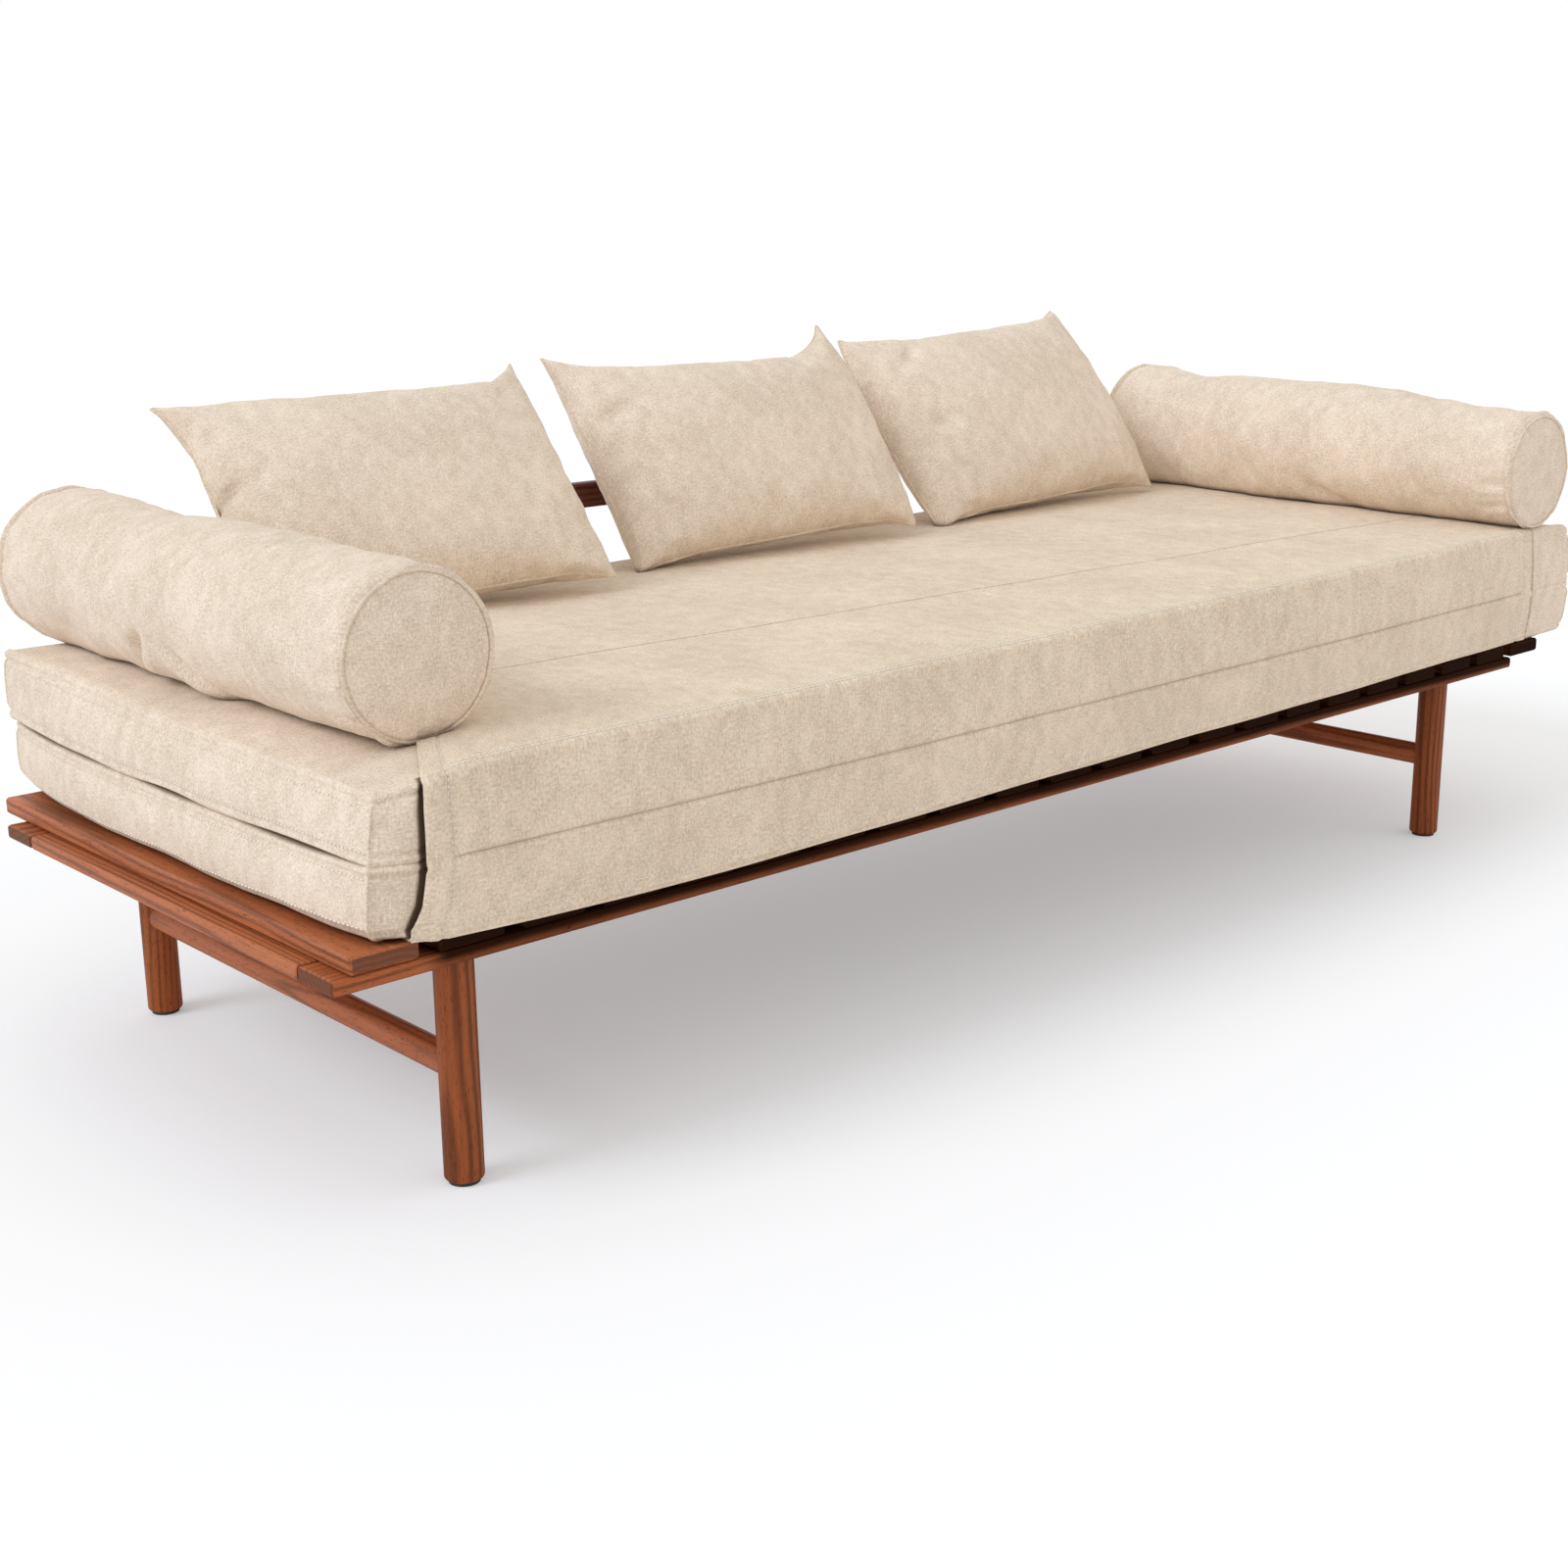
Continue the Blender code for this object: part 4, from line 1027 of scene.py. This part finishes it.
def bolster(name, tree, seed, hump, dents):
    """A round bolster: a body drawn up at its end caps, each with a stitched ridge, sagging on the mattress.

    The front's reach in hump also turns it a little.
    """
    swelling, dip, dip_place, fullness, reach = hump
    dome = BOLSTER_DOME
    low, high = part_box(name)
    length = high.y - low.y
    radius = (high.x - low.x) / 2
    cap_radius = radius * CAP_SHARE
    axis = np.array([(low.x + high.x) / 2, low.y, low.z + cap_radius])
    angles = np.linspace(0, 2 * math.pi, BOLSTER_SIDES + 1)
    spokes = np.stack([np.cos(angles), np.zeros_like(angles), np.sin(angles)], -1)
    cap = np.array(CAP_RINGS)
    body = fine_steps(dome, length - dome, 0.0055, 0.0016, 0.0128)

    def rings(ys, radii):
        """Circles of points about the axis."""
        centres = axis + np.array([0, 1, 0]) * np.array(ys)[:, None, None]
        return centres + np.array(radii)[:, None, None] * spokes

    def radius_at(side):
        """The body's radius at a distance from its nearer end."""
        return cap_radius + (radius - cap_radius) * (1 - bell(side, BOLSTER_SHOULDER))

    cap_ys = dome * cap ** 2
    flat_cap = (cap * cap_radius)[:, None, None] * spokes[None][..., [0, 2]]
    flat_body = np.stack(np.meshgrid(body, radius * angles, indexing="ij"), -1)
    panels = Panels()
    panels.add(rings(cap_ys, cap * cap_radius), flat_cap + 5.0, turned=True)
    panels.add(rings(body, radius_at(np.minimum(body - dome, length - dome - body))), flat_body, turned=True)
    panels.add(rings((length - cap_ys)[::-1], (cap * cap_radius)[::-1]), flat_cap[::-1] + 9.0, turned=True)
    mesh = panels.mesh(name + "_cover")
    start = places(mesh)
    ridge = dome + WELT_STITCHES
    ridge_rows = [body[np.argmin(abs(body - row))] for row in (ridge, length - ridge)]
    seam_ids = [nearest(start, ring) for ring in rings((dome, length - dome), (cap_radius, cap_radius))]
    ridge_ids = [nearest(start, ring) for ring in rings(ridge_rows, (radius_at(BOLSTER_WELT),) * 2)]
    from_axis = start - axis
    along = from_axis[:, 1]
    across = np.hypot(from_axis[:, 0], from_axis[:, 2])
    way = from_axis * [1, 0, 1] / np.maximum(across, 1e-6)[:, None]
    angle = np.arctan2(from_axis[:, 2], from_axis[:, 0])
    side = np.minimum(along - dome, length - dome - along)
    on_body = rise(side, 0.003)
    on_cap = 1 - on_body
    share = along / length
    swell = swelling * bell(share - 0.45, 0.24) - dip * bell(share - dip_place, 0.075)
    welt = WELT_HEIGHT * bell(side - BOLSTER_WELT / 2, BOLSTER_WELT / 2.8)
    for deep, spot in zip(WELT_GROOVES, (0.0, WELT_STITCHES)):
        welt -= deep * bell(side - spot, WELT_GROOVE_WIDTH)
    gather = wander(np.stack([np.cos(angle) * 0.32, along * 0.10, np.sin(angle) * 0.32], -1), 0.035, seed)
    drawn = BOLSTER_GATHER * gather * bell(side - 0.020, 0.030)
    broad, fine, spiral = BOLSTER_UNEVENNESS
    loose = broad * wander(start * [1.0, 0.55, 1.0], 0.060, seed + 1) + fine * wander(start, 0.024, seed + 2)
    twist = angle + 14 * along
    twisted = np.stack([np.cos(twist) * 0.1, along * 0.2, np.sin(twist) * 0.1], -1)
    rumple = spiral * wander(twisted, 0.04, seed + 3)
    sag = -BOLSTER_SAG * np.clip(way[:, 2], 0, 1) ** 2 * bell(share - 0.55, 0.3)
    pressed = np.zeros_like(along)
    for spot, turn, deep, long, wide, slope in dents:
        around = np.angle(np.exp(1j * (angle - math.radians(turn)))) * radius
        run, off = slanted((share - spot) * length, around, slope)
        pressed += deep * bell(run, long) * (bell(off, wide) - 0.45 * bell(off - 2 * wide, wide))
    upper = np.clip(0.55 + 0.45 * way[:, 2], 0, 1)
    push = on_body * (swell * upper + drawn + loose + rumple + sag - pressed) + welt * (side >= -0.0001)
    points = start + way * push[:, None]
    pucker = CAP_PUCKER * gather * bell(across - cap_radius * 0.93, 0.014) * on_cap
    ditch = CAP_DITCH * bell(across - cap_radius + 0.0032, 0.0018) * on_cap
    outward = np.where(along < length / 2, -1.0, 1.0)
    points[:, 1] += outward * (pucker - ditch + CAP_UNEVENNESS * on_cap * wander(start, 0.04, seed + 5))
    points[:, 0] += 1.3 * reach * (share - 0.5)
    points[:, 1] -= reach * (1 - share)
    fuller = fullness * rise(share - 0.05, 0.9) ** 1.2
    points += way * (fuller * np.minimum(1, across / radius))[:, None]
    points[:, 2] += 0.8 * fuller
    gaps = rest_on(points, tree)
    set_places(mesh, points)
    # painted shade under the bolster where it rests on the mattress, and along its cap seams
    paint_shade(mesh, BOLSTER_DARK * bell(gaps, 0.0055) + CAP_SEAM_DARK * bell(side, 0.0008))
    obj = link_piece(name + "_cover", mesh, name, COVER)
    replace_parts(obj, name)
    sew(name + "_stitches", [follow(mesh, ids, STITCH_LIFT) for ids in ridge_ids], name)
    welts = [follow(mesh, ids, STITCH_LIFT) for ids in seam_ids]
    pipe(name + "_welts", welts, CAP_WELT_RADIUS, name, tree)


def cushion_place(name):
    """A cushion's width, depth and height directions, its middle and its size, from its solid."""
    points = places(NODES[name].data)
    off_middle = points - points.mean(axis=0)
    _, _, ways = np.linalg.svd(np.unique(off_middle.round(5), axis=0), full_matrices=False)
    width, height = ways[0] * np.sign(ways[0][0]), ways[1] * np.sign(ways[1][2])
    turn = np.stack([width, np.cross(height, width), height])
    low, high = (points @ turn.T).min(axis=0), (points @ turn.T).max(axis=0)
    return turn, (low + high) / 2 @ turn, high - low


def cushion(name, tree, seed, draws, dents):
    """A knife-edged cushion: two cut panels sewn round the rim, stuffed, and leant on the back rail."""
    turn, middle, size = cushion_place(name)
    half = size / 2
    spread = [np.linspace(-1, 1, cells + 1) for cells in CUSHION_CELLS]
    a, b = np.meshgrid(*(0.6 * t + 0.4 * np.sin(math.pi / 2 * t) for t in spread), indexing="ij")
    top_draw, bottom_draw, left_draw, right_draw, skew = draws
    fall = np.where(b > 0, top_draw * (1 + skew * a), bottom_draw) * (1 - np.abs(a) ** EAR_SHARPNESS)
    pull = np.where(a < 0, left_draw, right_draw) * (1 - np.abs(b) ** EAR_SHARPNESS)
    drawn = np.stack([half[0] * a * (1 - pull * np.abs(a)), np.zeros_like(a),
                      half[2] * b * (1 - fall * np.abs(b))], -1)
    flat = drawn * CUSHION_FULLNESS
    crown = half[1] * CUSHION_CROWN * np.maximum(0, (1 - np.abs(a) ** 2.6) * (1 - np.abs(b) ** 2.4)) ** 0.56
    panels = Panels()
    for side, sign in enumerate((-1.0, 1.0)):
        panel = drawn.copy()
        panel[..., 1] = sign * crown
        panels.add(panel, flat[..., [0, 2]] + side * 2.3, turned=sign > 0)
    mesh = panels.mesh(name + "_cover")
    start = places(mesh)
    rim_line = np.concatenate([drawn[:, 0], drawn[-1, 1:], drawn[::-1, -1][1:], drawn[0, ::-1][1:]])
    rim = nearest(start, rim_line)
    cut = flat.reshape(-1, 3)[nearest(drawn.reshape(-1, 3), start * [1, 0, 1])]
    cut[:, 1] = 0.0004 * np.sign(start[:, 1])
    start[:, 1] += CUSHION_RUFFLE * wander(start, 0.03, seed) * (np.abs(start[:, 1]) > 0.0005)
    set_places(mesh, start)
    obj = link_piece(name + "_cover", mesh, name, COVER)
    inflate(obj, cut)
    points = places(mesh)
    front = np.clip(-points[:, 1] / 0.006, -1, 1)
    for u, w, deep, long, wide, slope in dents:
        run, off = slanted(points[:, 0] - u * half[0], points[:, 2] - w * half[2], slope)
        points[:, 1] += deep * bell(run, long) * bell(off, wide) * np.maximum(0, front)
    to_side = np.maximum(0, half[0] - np.abs(points[:, 0]))
    to_edge = np.maximum(0, half[2] - np.abs(points[:, 2]))
    gathers = wander(points * [0.25, 1.0, 1.0], 0.026, seed + 4) * bell(to_side - 0.014, 0.022)
    gathers += wander(points * [1.0, 1.0, 0.25], 0.026, seed + 5) * bell(to_edge - 0.020, 0.022)
    broad, fine = CUSHION_UNEVENNESS
    uneven = broad * wander(points, 0.07, seed + 2) + fine * wander(points, 0.02, seed + 3)
    points[:, 1] -= front * (CUSHION_GATHER * gathers + uneven)
    points = points @ turn + middle
    lean_on_rail(points)
    gaps = rest_on(points, tree)
    set_places(mesh, points)
    # painted shade along the cushion's lower edge where it rests on the mattress
    paint_shade(mesh, CUSHION_DARK * bell(gaps, CONTACT_SHADE))
    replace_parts(obj, name)
    edge = [follow(mesh, rim + rim[:1], 0.0)]
    pipe(name + "_edge", edge, CUSHION_EDGE_RADIUS, name, tree)


def lean_on_rail(points):
    """Presses a cushion's back flat against the back rail."""
    low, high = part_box("back_rail")
    beyond = np.maximum(0, np.abs(points[:, 2] - (low.z + high.z) / 2) - (high.z - low.z) / 2)
    x = points[:, 0]
    near = (x > low.x - LEAN_MARGIN) & (x < high.x + LEAN_MARGIN) & (beyond < LEAN_REACH)
    limit = low.y - SOFT_GAP + LEAN_SLOPE * beyond
    points[:, 1] = np.where(near, np.minimum(points[:, 1], limit), points[:, 1])


def round_timber(name, axis, centre, profile, material):
    """A turned piece: radii at places along an axis through a centre."""
    bm = bmesh.new()
    other = [i for i in range(3) if i != axis]
    rings = []
    for place, radius in profile:
        ring = []
        for side in range(TURNED_SIDES):
            angle = 2 * math.pi * side / TURNED_SIDES
            point = Vector(centre)
            point[axis] = place
            point[other[0]] += radius * math.cos(angle)
            point[other[1]] += radius * math.sin(angle)
            ring.append(bm.verts.new(point))
        rings.append(ring)
    for lower, upper in zip(rings, rings[1:]):
        for n in range(TURNED_SIDES):
            m = (n + 1) % TURNED_SIDES
            bm.faces.new((lower[n], lower[m], upper[m], upper[n]))
    bm.faces.new(rings[0][::-1])
    bm.faces.new(rings[-1])
    bmesh.ops.recalc_face_normals(bm, faces=bm.faces)
    mesh = bpy.data.meshes.new(name)
    bm.to_mesh(mesh)
    bm.free()
    mesh.shade_smooth()
    mesh.set_sharp_from_angle(angle=math.radians(40))
    return link_piece(name, mesh, "frame", material)


def leg(place):
    node = f"leg_{place}"
    low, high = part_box(node)
    radius = (high.x - low.x) / 2
    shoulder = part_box("front_rail")[0].z - SHOULDER_GAP
    turns = [math.radians(15 * n) for n in range(7)]
    profile = [(low.z + FOOT_ROUNDING * (1 - math.cos(t)), radius - FOOT_ROUNDING * (1 - math.sin(t)))
               for t in turns]
    profile += [(shoulder - SHOULDER_BEVEL, radius), (shoulder, radius - SHOULDER_BEVEL),
                (shoulder + 0.0001, TENON_RADIUS), (high.z, TENON_RADIUS)]
    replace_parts(round_timber(node + "_turned", 2, (low + high) / 2, profile, BEECH_ALONG_Z), node)


def stretcher(side):
    node = f"stretcher_{side}"
    low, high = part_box(node)
    radius = (high.z - low.z) / 2
    front, rear = (sum(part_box(f"leg_{row}_{side}"), Vector()).y / 2 for row in ("front", "rear"))
    profile = [(front + STRETCHER_HOLD, radius), (rear - STRETCHER_HOLD, radius)]
    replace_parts(round_timber(node + "_turned", 1, (low + high) / 2, profile, BEECH_ALONG_Y), node)


def timber():
    """Finishes for the timber, with smooth turned legs and stretchers, and screws under the rails."""
    finishes = {"front_rail": BEECH_FRONT, "rear_rail": BEECH_ALONG_X, "left_end_rail": BEECH_ALONG_Y,
                "middle_cross_rail": BEECH_ALONG_Y, "right_end_rail": BEECH_ALONG_Y,
                "back_rail": BACK_BEECH_X, "slat_": BEECH_SLATS, "glide_": GLIDE_FELT,
                "back_post_": BACK_BEECH_Z, "post_bracket_": BEECH_ALONG_Y}
    for name, node in NODES.items():
        for start, material in finishes.items():
            if name.startswith(start):
                node.material_slots[0].material = material
    for place in ("front_left", "front_right", "rear_left", "rear_right"):
        leg(place)
    for side in ("left", "right"):
        stretcher(side)
    points = []
    legs = [sum(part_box(f"leg_front_{side}"), Vector()).x / 2 for side in ("left", "right")]
    for slat in sorted(name for name in NODES if name.startswith("slat_")):
        x = sum(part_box(slat), Vector()).x / 2
        if min(abs(x - spot) for spot in legs) > SCREW_CLEARANCE:
            for rail in ("front_rail", "rear_rail"):
                low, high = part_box(rail)
                if low.x + SCREW_MARGIN < x < high.x - SCREW_MARGIN:
                    points.append((x, (low.y + high.y) / 2, low.z - SCREW_DROP))
    mesh = bpy.data.meshes.new("screw_places")
    mesh.from_pydata(points, [], [])
    heads = SCREWS("slat_screws", mesh, Radius=SCREW_RADIUS, Depth=SCREW_DEPTH, Material=SCREW_ZINC)
    link_piece("slat_screws", heads, "frame")


def soft_goods():
    lower, lower_square = mattress_layer("lower_layer", MATTRESS_BOTTOM, MATTRESS_SEAM - LAYER_GAP)
    upper, upper_square = mattress_layer("upper_layer", MATTRESS_SEAM + LAYER_GAP, MATTRESS_TOP)
    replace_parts(lower, "mattress_lower")
    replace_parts(upper, "mattress_upper")
    layer_seams([(lower, lower_square, MATTRESS_BOTTOM, MATTRESS_SEAM),
                 (upper, upper_square, MATTRESS_SEAM, MATTRESS_TOP)])
    sleeve, grid, spots, ways, stations = mattress_band()
    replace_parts(sleeve, "mattress_band")
    girth = float(np.linalg.norm(np.diff(grid[len(stations) // 2], axis=0), axis=1).sum())
    lay_band_seams(grid, spots, ways, stations)
    tree = support_tree([sleeve, upper])
    for name, (seed, hump, dents) in BOLSTERS.items():
        bolster(name, tree, seed, hump, dents)
    for name, (seed, draws, dents) in CUSHIONS.items():
        cushion(name, tree, seed, draws, dents)


def camera():
    data = bpy.data.cameras.new("camera")
    data.lens = VIEW_LENS
    data.sensor_width = VIEW_SENSOR
    obj = add_object("camera", data)
    right = VIEW_RIGHT.normalized()
    back = -VIEW_FORWARD.normalized()
    turn = Matrix((right, back.cross(right), back)).transposed().to_4x4()
    obj.matrix_world = Matrix.Translation(VIEW_PLACE) @ turn
    bpy.context.scene.camera = obj


def lamp(name, kind, strength, place, way):
    data = bpy.data.lights.new(name, kind)
    data.energy = strength
    obj = add_object(name, data)
    obj.location = place
    obj.rotation_euler = way.to_track_quat("-Z", "Y").to_euler()
    return data


def seen_by(nodes, *rays):
    """1 for those kinds of ray, 0 for others."""
    path = nodes.add("ShaderNodeLightPath").socket.node
    seen = Value(nodes, path.outputs[rays[0]])
    for ray in rays[1:]:
        seen = seen.math("MAXIMUM", Value(nodes, path.outputs[ray]))
    return seen


def stage():
    """A white floor that keeps the shadow, even light all round, a soft key from the left and a weak fill."""
    world = bpy.data.worlds.new("studio")
    bpy.context.scene.world = world
    world.use_nodes = True
    nodes = Nodes(world.node_tree)
    seen = seen_by(nodes, "Is Camera Ray", "Is Glossy Ray", "Is Transmission Ray")
    even = nodes.add("ShaderNodeBackground", {"Color": ROOM_COLOUR, "Strength": ROOM_LIGHT})
    white = nodes.add("ShaderNodeBackground", {"Color": (1.0, 1.0, 1.0, 1.0), "Strength": 1.0})
    nodes.add("ShaderNodeOutputWorld", {"Surface": nodes.blend(seen, even, white)})
    material, nodes = finish("studio_floor")
    matt = nodes.add("ShaderNodeBsdfDiffuse", {"Color": FLOOR_COLOUR})
    glow = nodes.add("ShaderNodeEmission", {"Color": FLOOR_GLOW, "Strength": FLOOR_GLOW_STRENGTH})
    nodes.surface(nodes.blend(seen_by(nodes, "Is Camera Ray") * FLOOR_GLOW_SHARE, matt, glow))
    mesh = bpy.data.meshes.new("floor")
    bm = bmesh.new()
    bmesh.ops.create_circle(bm, cap_ends=True, segments=96, radius=FLOOR_RADIUS)
    bm.to_mesh(mesh)
    bm.free()
    mesh.materials.append(material)
    add_object("floor", mesh)
    key = lamp("key", "SUN", KEY_STRENGTH, KEY_PLACE, KEY_WAY)
    key.color = KEY_COLOUR
    key.angle = KEY_SPREAD
    fill = lamp("fill", "AREA", FILL_STRENGTH, FILL_PLACE, FILL_TARGET - FILL_PLACE)
    fill.size = FILL_SIZE
    bpy.context.scene.view_settings.view_transform = "Standard"


camera()
stage()
timber()
soft_goods()
